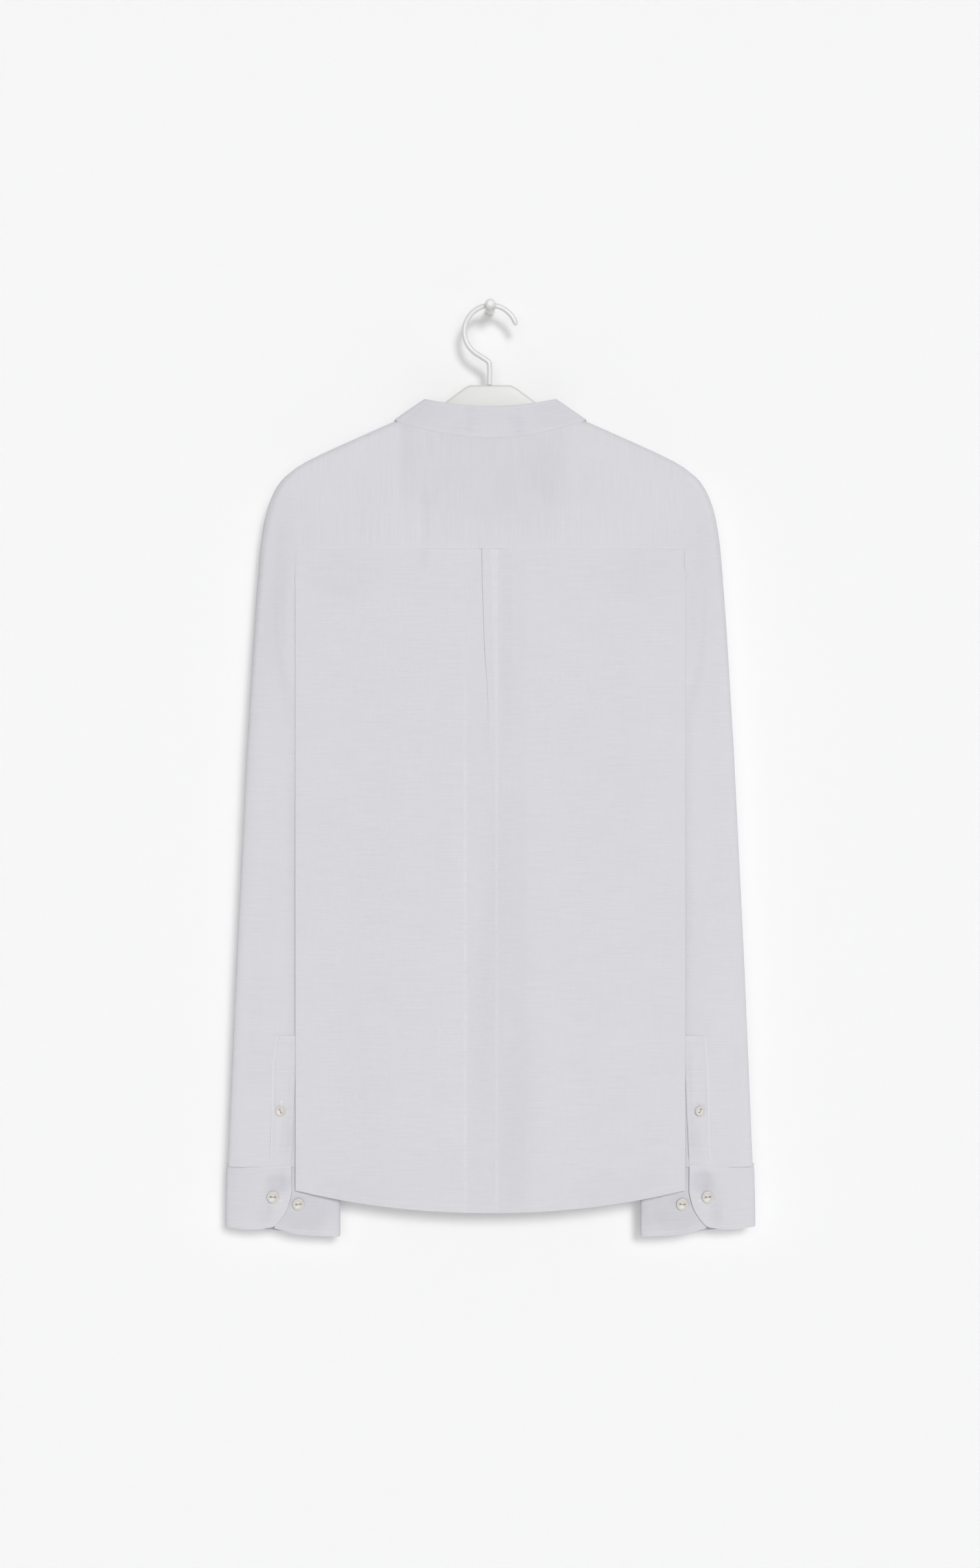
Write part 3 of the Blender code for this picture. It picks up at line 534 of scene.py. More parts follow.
linenWeave, paintedShadeAndHighlight, plasticGrain = makeLinenWeave(), makePaintedShadeAndHighlight(), makePlasticGrain()
linen = makeLinen("paleLinen")
# painted shade: at both upper corners below the yoke, over the low trough in the middle, in the creases near
# the hem's sides, along the pleat's valley and in a thin streak under the yoke seam
backLinen = makeLinen("backLinen", beneath=(
    ((-155, -258), (56, 34), 0.08), ((152, -258), (56, 34), 0.07), ((28, -790), (40, 120), 0.08),
    ((-150, -842), (50, 30), 0.08), ((140, -842), (60, 34), 0.08), ((14, -330), (16, 120), 0.06),
    ((-84, -236), (6, 26), 0.09),
))
# painted shade in the two troughs across the back of the band, and in a wider patch farther round
collarLinen = makeLinen(
    "collarLinen", dark=(0.597, 0.592, 0.637), light=(0.803, 0.798, 0.838),
    beneath=(((-23, 13), (13, 24), 0.09), ((24, 13), (12, 24), 0.08), ((60, 10), (26, 30), 0.08)),
)
# painted shade in two creases, and a wide darker middle below the collar
yokeLinen = makeLinen("yokeLinen", weftSlubs=0.12, warpSlubs=0.34, beneath=(
    ((12, -168), (118, 76), 0.14), ((50, -170), (28, 38), 0.09), ((-62, -205), (6, 34), 0.1),
))
# painted shadow of the body's folded edge: a long strip along the sleeve beside it, and a short one above the
# cuff
sleeveLinen = makeLinen("sleeveLinen", beneath=bothHands(
    ((174, -540), (14, 380), 0.14), ((187, -780), (16, 60), 0.1),
))
placketLinen = makeLinen("placketLinen", beneath=(
    # here x is measured from the fold at the outer edge; a painted highlight runs along that fold, with
    # painted shade just inside it, beside the body's edge, in a crease and along the cross stitches
    ((0.2, -752), (1.2, 110), -0.3), ((2.6, -752), (1.5, 110), 0.12), ((14, -788), (9, 30), 0.14),
    ((21, -750), (9, 120), 0.16), ((12, -699), (14, 2), 0.16),
))
# painted shade in the dents above and below the outer button, and on the cuff's inner end under the body's
# hem
cuffLinen = makeLinen("cuffLinen", dark=(0.606, 0.6, 0.643), light=(0.81, 0.805, 0.842), beneath=bothHands(
    ((13, -829), (17, 15), 0.3), ((26, -856), (10, 22), 0.16), ((218, -858), (60, 30), 0.3),
))
# stitching thread lighter than the cloth: a painted sheen on the stitches
thread = makeLinen("sewingThreadPaintedSheen", dark=(0.76, 0.76, 0.785), light=(0.88, 0.88, 0.9), bump=0.2)
buttonThread = makeLinen("buttonThread", dark=(0.45, 0.42, 0.38), light=(0.56, 0.53, 0.49), bump=0.2)
ivory, hangerWhite, hookWhite, pegWhite = (makePlastic(name, *look) for name, look in plastics.items())
print("materials made")


# back

backPanel = {
    "columns": 52,  # on each side of the pleat, up to the folded edge
    "rowStep": 3.6,
    "thickness": 0.45,
    "levelEndZ": -780.0,  # below this the rows follow the hem
    "hemZ": -857.5,
    "hemRise": 20.5,
    "hemPower": 2.1,
    "hemFold": 6.0,  # height of the turned hem
    "underYoke": 4.0,  # the top edge runs up behind the yoke's seam
    "underYokeDepth": 0.22,
    "waves": (0.24, 1.7, -240.0, 90.0),  # size, seed, the height where they begin and the run of that
    # start u, start z, end u, end z, width, lift, bow
    "creases": (
        (17, -226, 18, -335, 1.6, -0.22, 0),  # the far edge of the pleat, pressed flat
        (-2, -420, -20, -846, 20, -3.2, 4),
        (34, -470, 46, -850, 22, 3.2, -4),
        (-96, -600, -84, -850, 26, 0.9, 3),
        (-150, -640, -120, -845, 22, -1.2, 5),
        (150, -660, 128, -845, 22, -1.1, -5),
    ),
}

pleat = {
    "leftX": -8.0,
    "rightX": 17.0,
    "under": 10.0,
    "spread": 17.0,
    "openShare": 0.39,  # of the pleat's width, once it has opened
    "layerGap": 0.35,
    "foldRadius": 0.45,
    "drift": 3.0,  # the left fold wanders to the right on its way down
    "driftEndZ": -392.0,
    "opening": ((-232.0, 1.0), (-330.0, 0.85), (-362.0, 0.5), (-392.0, 0.2), (-432.0, 0.0)),  # z, share left
}


def pleatHalf():
    # x from the fold and height over the panel, from the flat panel through the hidden fold to the top
    lowRadius, radius, gap = pleat["layerGap"] / 2, pleat["foldRadius"], pleat["layerGap"]
    path = [(x, 0.0) for x in np.linspace(-pleat["spread"], -3.0, 6)]
    path += [(x, 0.0) for x in np.linspace(0.0, pleat["under"] - 1, 4)]
    for angle in np.linspace(0.0, math.pi, 5):
        path.append((pleat["under"] + lowRadius * math.sin(angle), lowRadius * (1 - math.cos(angle))))
    path += [(x, gap) for x in (6.5, 3.6)]
    for angle in np.linspace(0.0, math.pi, 9):
        path.append((radius - radius * math.sin(angle), gap + radius * (1 - math.cos(angle))))
    path += [(x, gap + 2 * radius) for x in (3.0, 6.0, 9.0)]
    return np.array(path)


def pleatColumns(z):
    # x, height over the panel and place on the flat cloth, across the pleat at one height
    half = pleatHalf()
    run, (folded, height) = runAlong(half), half.T
    share = readTable(pleat["opening"], z)
    drift = pleat["drift"] * smooth((hang["yokeZ"] - z) / (hang["yokeZ"] - pleat["driftEndZ"]))
    openEnd = (pleat["rightX"] - pleat["leftX"]) * pleat["openShare"]
    flat = -pleat["spread"] + (openEnd + pleat["spread"]) * run / run[-1]
    left = pleat["leftX"] + drift + folded * share + flat * (1 - share)
    right = (pleat["rightX"] - flat)[::-1]
    up = np.concatenate([height * share, 0 * right])
    return np.concatenate([left, right]), up, np.concatenate([run - run[-1], (run[-1] - run)[::-1]])


def sideColumns(z, curlSteps=8, runSteps=10, turnSteps=6):
    # u of the columns round the folded edge, along the folded part and round to the seam
    end = float(edgeU(z))
    curlEnd = min(curlU, end - 1.0)
    bend = curlU + flatU - hang["sideSeamX"] - float(pocketDepth(z))
    runEnd = min(max(bend, curlEnd + 0.5), end - 0.4)
    stretches = ((flatU, curlEnd, curlSteps), (curlEnd, runEnd, runSteps), (runEnd, end, turnSteps))
    return np.concatenate([np.linspace(low, high, steps + 1)[1:] for low, high, steps in stretches])


def onFlat(u):
    # 1 on the flat of the cloth, falling to 0 at the folded edge
    return smooth((hang["edgeX"] + 1 - np.abs(u)) / 12)


def hemZ(u, lift=0.0):
    rise = backPanel["hemRise"] * (np.abs(u) / hang["edgeX"]) ** backPanel["hemPower"]
    return backPanel["hemZ"] + lift + rise


def rowHeights(topZ, hemUp, step):
    # each row is a function of u: from a seam to the fold's top, level rows, then along the hem
    levelTop, levelEnd = hang["foldTopZ"], backPanel["levelEndZ"]
    topSteps = max(4, round((float(np.max(topZ(0.0))) - levelTop) / step))
    rows = [lambda u, f=f: topZ(u) + (levelTop - topZ(u)) * f for f in np.linspace(0, 1, topSteps + 1)]
    levels = np.linspace(levelTop, levelEnd, round((levelTop - levelEnd) / step) + 1)[1:]
    rows += [lambda u, z=z: np.full(np.shape(u), z) for z in levels]
    shares = np.linspace(0, 1, round((levelEnd - backPanel["hemZ"]) / step) + 1)[1:]
    return rows + [lambda u, f=f: levelEnd + (hemZ(u, hemUp) - levelEnd) * f for f in shares]


def hemLift(z, hemLine):
    # the turned hem stands a little proud and its stitches pull in
    up, fold = z - hemLine, backPanel["hemFold"]
    return 0.35 * smooth((fold + 1.0 - up) / 1.5) - 0.3 * bell(up - fold, 0.9)


def hemStitches(points):
    # picks the line of the hem's stitches from a grid like this one
    row = len(points) - 1 - backPanel["hemFold"] / (points[-2, :, 2] - points[-1, :, 2])
    return lambda grid: alongRow(grid, row)


def makeBack():
    seamZ = hang["yokeZ"] + backPanel["underYoke"]
    points, flat = [], []
    for zOf in rowHeights(lambda u: seamZ + 0.0 * np.abs(u), 0.0, backPanel["rowStep"]):
        pleatX, pleatUp, pleatFlat = pleatColumns(float(zOf(0.0)))
        sides = sideColumns(float(zOf(flatU)))
        left = -np.concatenate([np.linspace(3.0 - pleatX[0], flatU, backPanel["columns"]), sides])[::-1]
        right = np.concatenate([np.linspace(3.0 + pleatX[-1], flatU, backPanel["columns"]), sides])
        u = np.concatenate([left, pleatX, right])
        up = np.concatenate([0 * left, pleatUp, 0 * right])
        leftMore = pleatFlat[0] - pleat["leftX"] + pleat["spread"]
        rightMore = pleatFlat[-1] - pleat["rightX"] - pleat["spread"]
        z = zOf(np.abs(u))
        x, depth = sidePath(np.abs(u), z)
        lift = creaseLift(backPanel["creases"], u, z) + softWaves(backPanel["waves"], u, z)
        lift = lift * onFlat(u) + hemLift(z, hemZ(u))
        tuck = backPanel["underYokeDepth"] * smooth((z - hang["yokeZ"] + 0.8) / 1.6)
        points.append(place(np.copysign(x, u), depth + up + lift - tuck, z, back))
        flat.append(sideBySide(np.concatenate([left + leftMore, pleatFlat, right + rightMore]), z))
    points = np.array(points)
    piece = makeCloth("back_panel", points, flat, backPanel, backLinen, "back", flip=True)
    sew("back_hem_stitches", points, True, hemStitches(points))


makeBack()
print("back made")

# fronts

frontPanel = {
    "lap": 15.0,
    "wall": 1.0,
    "layerGap": 0.4,
    "hemLift": 7.0,
    "seamGap": -1.0,  # sewn in under the collar's edge
    "rowStep": 4.4,
    "thickness": 0.45,
    "bandWidth": 30.0,  # the buttoned band, with a stitched fold on its inner side
    "waves": (0.3, 4.1, -230.0, 90.0),
    "creases": (
        (60, -300, 40, -560, 20, -1.0, 4),
        (120, -420, 96, -700, 24, -1.2, -6),
        (48, -620, 60, -845, 28, 1.0, 5),
        (140, -560, 120, -840, 22, -1.1, 4),
    ),
}
neckEnd = hang["neckX"] * math.cos(math.pi / 8)  # where the fronts' seam leaves the collar for the yoke


def frontTopZ(u):
    u = np.abs(u)
    yokeSeam = ridgeZ(u) - hang["frontYokeDrop"]
    return np.where(u < neckEnd, neckFrontZ(u) - frontPanel["seamGap"], yokeSeam)


def makeFront(name, hand):
    band, lap = frontPanel["bandWidth"] / 2, frontPanel["lap"]
    inner = np.concatenate([
        np.linspace(-lap, band - 0.8, 12), [band, band + 0.8], np.linspace(band + 3, neckEnd - 0.01, 22),
        np.linspace(neckEnd + 0.4, flatU, 28),
    ])
    points, flat = [], []
    for zOf in rowHeights(frontTopZ, frontPanel["hemLift"], frontPanel["rowStep"]):
        u = np.concatenate([inner, sideColumns(float(zOf(flatU)), 6, 8, 5)])
        z = zOf(np.abs(u))
        x, depth = sidePath(np.abs(u), z)
        over = -hand * (1 - smooth((u - lap) / (2 * lap)))  # the left front lies over the right one
        depth = depth + over * (frontPanel["wall"] + frontPanel["layerGap"]) / 2
        lift = creaseLift(frontPanel["creases"], u, z) * onFlat(u)
        lift += softWaves(frontPanel["waves"], hand * u, z, hand) * smooth((u - 20) / 40)
        lift += hemLift(z, hemZ(u, frontPanel["hemLift"])) - 0.3 * bell(u - band, 0.8)
        points.append(place(hand * np.copysign(x, u), depth + lift, z, front))
        flat.append(sideBySide(hand * u, z))
    points = np.array(points)
    piece = makeCloth(name + "_panel", points, flat, frontPanel, linen, name, flip=hand < 0)
    sew(name + "_stitches", points, hand < 0, lambda grid: grid[3:, 12], hemStitches(points))


makeFront("front_right", 1)
makeFront("front_left", -1)
print("fronts made")

# yoke

yoke = {
    "thickness": 0.55,
    "seamLift": 0.06,
    "stitchUp": 1.6,
    "waves": (0.3, 2.9, 0.0, 1.0),
    "creases": (
        (-65, -180, -60, -230, 7, -1.1, 0),
        (52, -155, 47, -222, 13, -1.8, 3),
        (-40, -134, -70, -196, 12, -0.6, -3),
        (88, -135, 120, -215, 16, -0.7, 4),
        (-120, -150, -150, -222, 16, -0.6, -3),
        (0, -140, 4, -225, 18, -0.5, 2),
    ),
    "frontCreases": ((60, -135, 75, -160, 8, -0.5, 0), (-60, -135, -75, -160, 8, -0.5, 0)),
}


def pleatBulge(x, up):
    # the yoke rides over the folded layers of the pleat
    over = smooth((x - pleat["leftX"] + 2.6) / 2.2) * smooth((pleat["rightX"] - 2 - x) / 14)
    return (pleat["layerGap"] + 2 * pleat["foldRadius"]) * over * smooth((14 - up) / 12)


def yokeRows():
    # x, z and side of each row, from the back seam over the ridge to the front seam, and the top at each x
    ridge, neckX, edge, foot = hang["ridgeRadius"], hang["neckX"], hang["edgeX"], hang["yokeZ"]
    half = np.concatenate([np.linspace(edge, neckX, 32), np.linspace(neckX, 0.0, 27)[1:]])
    x = np.concatenate([-half, half[:-1][::-1]])
    inNeck = np.abs(x) < neckX
    top = np.where(inNeck, neckBackZ(x), ridgeZ(x))
    rows = [(x, foot + (top - ridge - foot) * share, back) for share in np.linspace(0.0, 1.0, 32)]
    rounding = [ridge * (1 - math.cos(angle)) for angle in np.linspace(0.0, math.pi / 2, 9)]
    rows += [(x, top - drop, back) for drop in rounding[-2::-1]]
    rows.append((x, top + np.where(inNeck, 1.0, 0.0), back))  # sewn in under the collar's edge
    for drop in rounding[1:] + list(np.linspace(ridge, hang["frontYokeDrop"], 10)[1:]):
        neckFrontX = neckX * math.sqrt(1 - (drop / hang["neckFrontDrop"]) ** 2)
        moved = neckFrontX + (edge - neckFrontX) * (np.abs(x) - neckX) / (edge - neckX)
        moved = np.where(np.abs(x) < neckX - 0.01, np.nan, moved)
        rows.append((np.copysign(moved, x), ridgeZ(moved) - drop, front))
    return rows, top


def makeYoke():
    rows, top = yokeRows()
    points, flat, run = [], [], 0.0
    for x, z, side in rows:
        creases, ease = (yoke["creases"], 25) if side == back else (yoke["frontCreases"], 12)
        lift = creaseLift(creases, x, z) + softWaves(yoke["waves"], x, z)
        lift = lift * smooth((top - hang["ridgeRadius"] - z) / ease)
        if side == back:
            up = z - hang["yokeZ"]
            lift += yoke["seamLift"] * smooth((7.5 - up) / 2) - 0.12 * bell(up - yoke["stitchUp"], 0.7)
            lift += pleatBulge(x, up)
        lift = lift * smooth((hang["edgeX"] - np.abs(x)) / 8)
        points.append(place(x, halfDepth(x, z) + lift, z, side))
        if len(points) > 1:
            run += float(np.mean(np.linalg.norm((points[-1] - points[-2])[5:10], axis=-1)))
        flat.append(sideBySide(x, hang["yokeZ"] + run))
    points = np.array(points)
    piece = makeCloth("yoke_panel", points, flat, yoke, yokeLinen, "yoke")
    seamRow = yoke["stitchUp"] / (points[1, :, 2] - points[0, :, 2])
    sew("yoke_stitches", points[:8], False, lambda grid: alongRow(grid, seamRow))


makeYoke()
print("yoke made")

# collar

collar = {
    "topX": 62.5,
    "peakZ": -89.5,
    "backZ": -97.3,
    "topDepth": 15.0,
    "frontDrop": 68.0,
    "foldLift": 1.3,
    "endRise": 0.25,
    "wall": 2.2,
    "layerGap": 0.4,
    "lap": 15.0,
    "thickness": 1.9,
    "softEdge": 0.5,
    "proud": 0.45,  # how far the lower edge stands over the yoke
    "crown": 0.35,
    "seamGap": 0.3,
    # how far the lower and the upper edge are rounded off, over which share of the height
    "edges": (0.1, 0.6, 0.03),
    "pinches": ((0.08, 0.22), (0.93, 0.22)),  # share of the height, and pull
    "pinchWidth": 0.035,
    # x, height, width, lift of the soft undulations across the back of the band
    "waves": ((-22.0, -112.0, 6.0, -1.5), (23.0, -112.0, 6.0, -1.5), (0.0, -112.0, 14.0, 0.7)),
}


def collarTopDepth(turn):
    ridge = hang["ridgeRadius"]
    drop = collar["frontDrop"] * math.sin(turn)
    rounded = math.sqrt(1 - (1 - min(drop / ridge, 1.0)) ** 2)
    crown = math.sqrt(max(0.0, 1 - math.cos(turn) ** 2.5))
    return ridge * rounded + (collar["topDepth"] - ridge) * crown


def collarStations():
    # low and high ends of the band as (x, depth, z, side), from the left front end round the back
    neckX, quarter = hang["neckX"], math.pi / 2
    stations = []
    for turn in np.linspace(-quarter, quarter, 81):
        x, z = neckX * math.sin(turn), float(neckBackZ(neckX * math.sin(turn)))
        topZ = collar["backZ"] + (collar["peakZ"] - collar["backZ"]) * math.sin(turn) ** 2
        top = (collar["topX"] * math.sin(turn), collarTopDepth(quarter - abs(turn)), topZ, back)
        stations.append(((x, float(halfDepth(x, z)), z, back), top))
    for hand in (1, -1):
        ahead = []
        for turn in (0.004, 0.0115, 0.025, 0.043, 0.064, *np.linspace(0.086, quarter, 36)):
            x, z = neckX * math.cos(turn), hang["neckTopZ"] - hang["neckFrontDrop"] * math.sin(turn)
            lap = -hand * float(smooth((turn - 0.8) / 0.6)) * (collar["wall"] + collar["layerGap"]) / 2
            topX, topDrop = collar["topX"] * math.cos(turn), collar["frontDrop"] * math.sin(turn)
            low = (hand * x, float(halfDepth(x, z)) + lap, z, front)
            high = (hand * topX, collarTopDepth(turn) + lap, collar["peakZ"] - topDrop, front)
            ahead.append((low, high))
        low, high = ahead[-1]
        for past in np.linspace(0.0, collar["lap"], 8)[1:]:
            rounding = 3.5 * max(0.0, (past - 10.5) / 4.5) ** 2
            endZ = high[2] + collar["endRise"] * past - rounding
            endLow = (-hand * past, low[1], float(neckFrontZ(past)), front)
            ahead.append((endLow, (-hand * past, high[1], endZ, front)))
        stations = stations + ahead if hand > 0 else ahead[::-1] + stations
    return stations


def makeCollar():
    stations = np.array(collarStations())  # station, low or high end, x depth z side
    lows, highs, side = stations[:, 0, :3], stations[:, 1, :3], stations[:, 0, 3]
    x, depth, z = ((lows + highs) / 2).T
    run = runAlong(sideBySide(x, side * depth, z))
    run -= run[np.argmin(np.where(side == back, np.abs(lows[:, 0]), np.inf))]  # measured from the centre back
    foldLift = collar["foldLift"] * (np.abs(lows[:, 0]) / hang["neckX"]) ** 20
    points, flat = [], []
    for share in (1.0, 0.985, 0.955, 0.92, *np.linspace(0.86, 0.14, 10), 0.09, 0.05, 0.02, 0.0):
        x, depth, z = (lows + (highs - lows) * share).T
        z = z + (collar["seamGap"] + foldLift) * (1 - share)
        lift = collar["proud"] * (1 - share) + collar["crown"] * math.sin(math.pi * share)
        lift += sewnEdges(share, collar)
        for waveX, waveZ, width, size in collar["waves"]:
            lift = lift + np.where(side == back, size * bell(x - waveX, width) * bell(z - waveZ, 12), 0.0)
        points.append(place(x, depth + lift * smooth((hang["neckX"] - np.abs(x)) / 12), z, side))
        flat.append(sideBySide(run, share * 30.0))
    points = np.array(points)
    piece = makeCloth("collar_band", points, flat, collar, collarLinen, "collar", flip=True)
    sew("collar_stitches", points, True, lambda grid: grid[3], lambda grid: grid[-4])


makeCollar()
print("collar made")

# sleeves

sleeve = {
    "fold": (  # x and height of the outer fold
        (184.3, -154.2), (197.2, -165.0), (205.1, -177.1), (210.1, -189.1), (213.4, -201.2), (217.4, -226.4),
        (219.6, -250.6), (223.6, -304.0), (226.8, -355.3), (230.4, -420.0), (240.8, -631.2), (248.4, -812.7),
    ),
    "inner": ((-420.0, 102.5), (-560.0, 112.0), (-700.0, 127.0), (-812.7, 141.0)),  # height, x
    "depthTop": 13.1,
    "depthEnd": 8.8,
    "underlapDrop": 1.9,  # towards the inner fold the sleeve follows the underlap of its cuff
    "round": 4.5,
    "levelZ": -420.0,
    "endZ": -813.0,
    "steps": 34,
    "capRows": 44,
    "levelRows": 84,
    "clear": 0.2,
    "underarmEase": 1.3,
    "underarmEaseZ": -335.0,
    "underarmEaseRun": 45.0,
    "thickness": 0.5,
    "waves": (0.3, 5.3, -190.0, 60.0),
    "frontWaves": (0.45, 8.1, -230.0, 60.0),
    "gather": 0.35,  # small folds where the cloth is gathered into the cuff
    # x, z to x, z, width, lift, bow: long soft folds that hang from the shoulder to the cuff
    "creases": (
        (206, -300, 214, -640, 9, -0.8, 2),
        (196, -520, 206, -800, 8, 0.7, -2),
        (226, -560, 232, -790, 8, -0.7, 2),
        (212, -640, 196, -700, 7, -0.5, 0),
        (150, -500, 160, -780, 14, -0.8, 3),
    ),
}


def outerFoldX(z):
    return readTable([(height, x) for x, height in sleeve["fold"]], z)


def sectionDepth(x, z):
    inner, outer = readTable(sleeve["inner"], z), outerFoldX(z)
    share = (sleeve["levelZ"] - z) / (sleeve["levelZ"] - sleeve["endZ"])
    depth = sleeve["depthTop"] + (sleeve["depthEnd"] - sleeve["depthTop"]) * share
    off = np.minimum(np.abs(2 * x - inner - outer) / (outer - inner), 1.0)
    low = smooth((184 - x) / 12) * smooth((z - sleeve["endZ"] - 70) / -70)
    return (depth - sleeve["underlapDrop"] * low) * (1 - off ** sleeve["round"]) ** (1 / sleeve["round"])


def levelHalf(z):
    # x, depth and z of the sleeve's half, from the inner fold to the outer one
    inner, outer = float(readTable(sleeve["inner"], z)), float(outerFoldX(z))
    wave = -np.cos(np.linspace(0, math.pi, sleeve["steps"] + 1))
    x = (inner + outer) / 2 + (outer - inner) / 2 * np.copysign(np.abs(wave) ** (2 / sleeve["round"]), wave)
    return sideBySide(x, sectionDepth(x, z), z)


def evenly(line, count):
    run = runAlong(line)
    return readLine(line, run, np.linspace(0, run[-1], count + 1))


def curveThrough(points, count):
    # a smooth curve through the points, evenly divided
    points = np.array(points, float)
    ends = np.concatenate([[2 * points[0] - points[1]], points, [2 * points[-1] - points[-2]]])
    fine = []
    for p0, p1, p2, p3 in zip(ends, ends[1:], ends[2:], ends[3:]):
        bend, twist = 2 * p0 - 5 * p1 + 4 * p2 - p3, 3 * p1 - p0 - 3 * p2 + p3
        for t in np.linspace(0, 1, 16, endpoint=False):
            fine.append(0.5 * (2 * p1 + (p2 - p0) * t + bend * t**2 + twist * t**3))
    return evenly(np.array([*fine, points[-1]]), count)


def armholeHalf():
    # the sleeve's start: along the body's folded edge, then straight up to the shoulder
    folded = []
    for z in np.linspace(hang["underarmZ"], hang["foldTopZ"], 61):
        end, step = edgeU(z), 0.05
        (x, depth), (nearX, nearDepth) = sidePath(end, z), sidePath(end - step, z)
        ease = sleeve["underarmEase"] * smooth((sleeve["underarmEaseZ"] - z) / sleeve["underarmEaseRun"])
        aside = smooth((hang["foldTopZ"] - z) / hang["curlRun"]) * (sleeve["clear"] + ease) / step
        folded.append((x - (depth - nearDepth) * aside, depth + (x - nearX) * aside, z))
    straight = []
    for drop in (82, 72, 60, 50, 40, 30, 22, 15, 10, hang["ridgeRadius"], 4.6, 2.6, 1.2, 0.4, 0.0):
        z = ridgeZ(hang["edgeX"]) - drop
        straight.append((hang["edgeX"], halfDepth(hang["edgeX"], z), z))
    return np.concatenate([evenly(np.array(folded, float), sleeve["steps"] - len(straight)), straight])


def underFold(points):
    # keeps the sleeve behind the body's folded edge, and lets it rise again past the edge
    x, depth, z = points.T
    formed = smooth((hang["foldTopZ"] + 3 - z) / (0.7 * hang["curlRun"]))
    roof = halfDepth(flatU, z) - 2 * hang["foldRadius"] * formed - sleeve["clear"]
    roof = roof + np.maximum(0.0, x - hang["edgeX"] - 2) * 0.3
    return sideBySide(x, np.where(formed > 0, np.minimum(depth, roof), depth), z)


def sleeveHalves():
    # the rows of the back half, from under the body's edge down to the cuff
    start, level = armholeHalf(), levelHalf(sleeve["levelZ"])
    fold = curveThrough([(x, 0.0, z) for x, z in sleeve["fold"] if z >= sleeve["levelZ"]], sleeve["capRows"])
    reach = (np.arange(sleeve["steps"] + 1) / sleeve["steps"]) ** 2
    straight = start[:, 2] > hang["foldTopZ"]
    halves = [start]
    for step in (0.6, 3.0):  # the seam allowance lies under the body's edge, close below its face
        under = start - [step, 0.0, 0.0]
        slope = halfDepth(under[:, 0], start[:, 2]) - halfDepth(start[:, 0], start[:, 2])
        under[:, 1] += np.where(straight, slope - 0.08 * step, -0.25 * step)
        halves.insert(0, under)
    for step in range(1, sleeve["capRows"] + 1):
        blend = start + (level - start) * step / sleeve["capRows"]
        moved = (fold[step] - blend[-1]) * [1, 0, 1]
        halves.append(underFold(blend + moved * reach[:, None]))
    heights = np.linspace(sleeve["levelZ"], sleeve["endZ"], sleeve["levelRows"] + 1)[1:]
    sewnIn = sleeve["endZ"] - 2.5  # between the cuff's layers
    halves += [levelHalf(z) for z in (*heights, sewnIn)]
    return np.array(halves)


def makeSleeve(name, hand):
    x, depth, z = np.moveaxis(sleeveHalves(), -1, 0)
    inset = np.minimum(np.abs(x - outerFoldX(z)), 10) / 10  # the outline keeps its place
    lift = creaseLift(sleeve["creases"], x, z) + softWaves(sleeve["waves"], x * 1.3, z, hand)
    lift += sleeve["gather"] * np.sin(x / 2.6 + hand) * smooth((z - sleeve["endZ"] - 14) / -14)
    lift *= inset * smooth((x - 186) / 6)
    frontLift = softWaves(sleeve["frontWaves"], x * 1.2, z, hand) * inset
    frontPart = place(hand * x, depth + frontLift, z, front)[:, -2:0:-1]
    points = np.concatenate([place(hand * x, depth + lift, z, back), frontPart], axis=1)
    run = np.array([runAlong(row) for row in points])
    run -= run[:, sleeve["steps"]][:, None]
    flat = sideBySide(hand * (outerFoldX(points[..., 2]) + run), points[..., 2])
    piece = makeCloth(name + "_cloth", points, flat, sleeve, sleeveLinen, name, closed=True, flip=hand > 0)


makeSleeve("sleeve_right", 1)
makeSleeve("sleeve_left", -1)
print("sleeves made")

# cuffs

cuff = {
    "seamZ": -813.0,
    "midX": 196.0,
    "lean": 1.4,
    "thickness": 1.5,
    "softEdge": 0.45,
    "rows": 26,
    "crown": 0.25,
    "edges": (0.0, 0.5, 0.035),
    "pinches": ((0.06, 0.25), (0.92, 0.25)),
    "pinchWidth": 0.02,
    # x, height, width, reach and lift of soft dents above and beside the outer button
    "dents": (
        (200.0, -830.0, 7.0, 8.0, -2.4), (211.0, -853.0, 5.0, 12.0, -1.2), (222.0, -838.0, 9.0, 14.0, 0.6),
    ),
    "buttonhole": ((212.6, -844.6), (196.1, -847.4)),
    "buttonholeDepth": 9.3,
    # x, depth towards the back, height of the lower edge, from the buttonhole end round
    "table": (
        (187.8, 9.2, -839.0), (189.0, 9.2, -845.0), (191.6, 9.2, -854.0), (196.0, 9.1, -862.0),
        (203.5, 8.9, -871.0), (212.0, 8.5, -873.6), (226.0, 7.6, -875.0), (239.0, 6.0, -874.0),
        (247.0, 3.8, -873.2), (250.8, 1.3, -872.8), (250.8, -1.3, -872.8), (247.0, -3.8, -873.2),
        (239.0, -6.0, -874.2), (222.0, -7.6, -876.0), (196.0, -8.2, -878.5), (170.0, -7.6, -880.5),
        (153.0, -5.6, -881.8), (145.0, -3.2, -882.2), (142.2, -1.1, -882.2), (142.2, 1.1, -882.2),
        (145.0, 2.9, -882.4), (153.0, 4.9, -881.8), (168.0, 6.4, -880.8), (184.0, 6.7, -879.4),
        (194.0, 6.5, -876.6), (204.0, 6.2, -874.0),
    ),
}


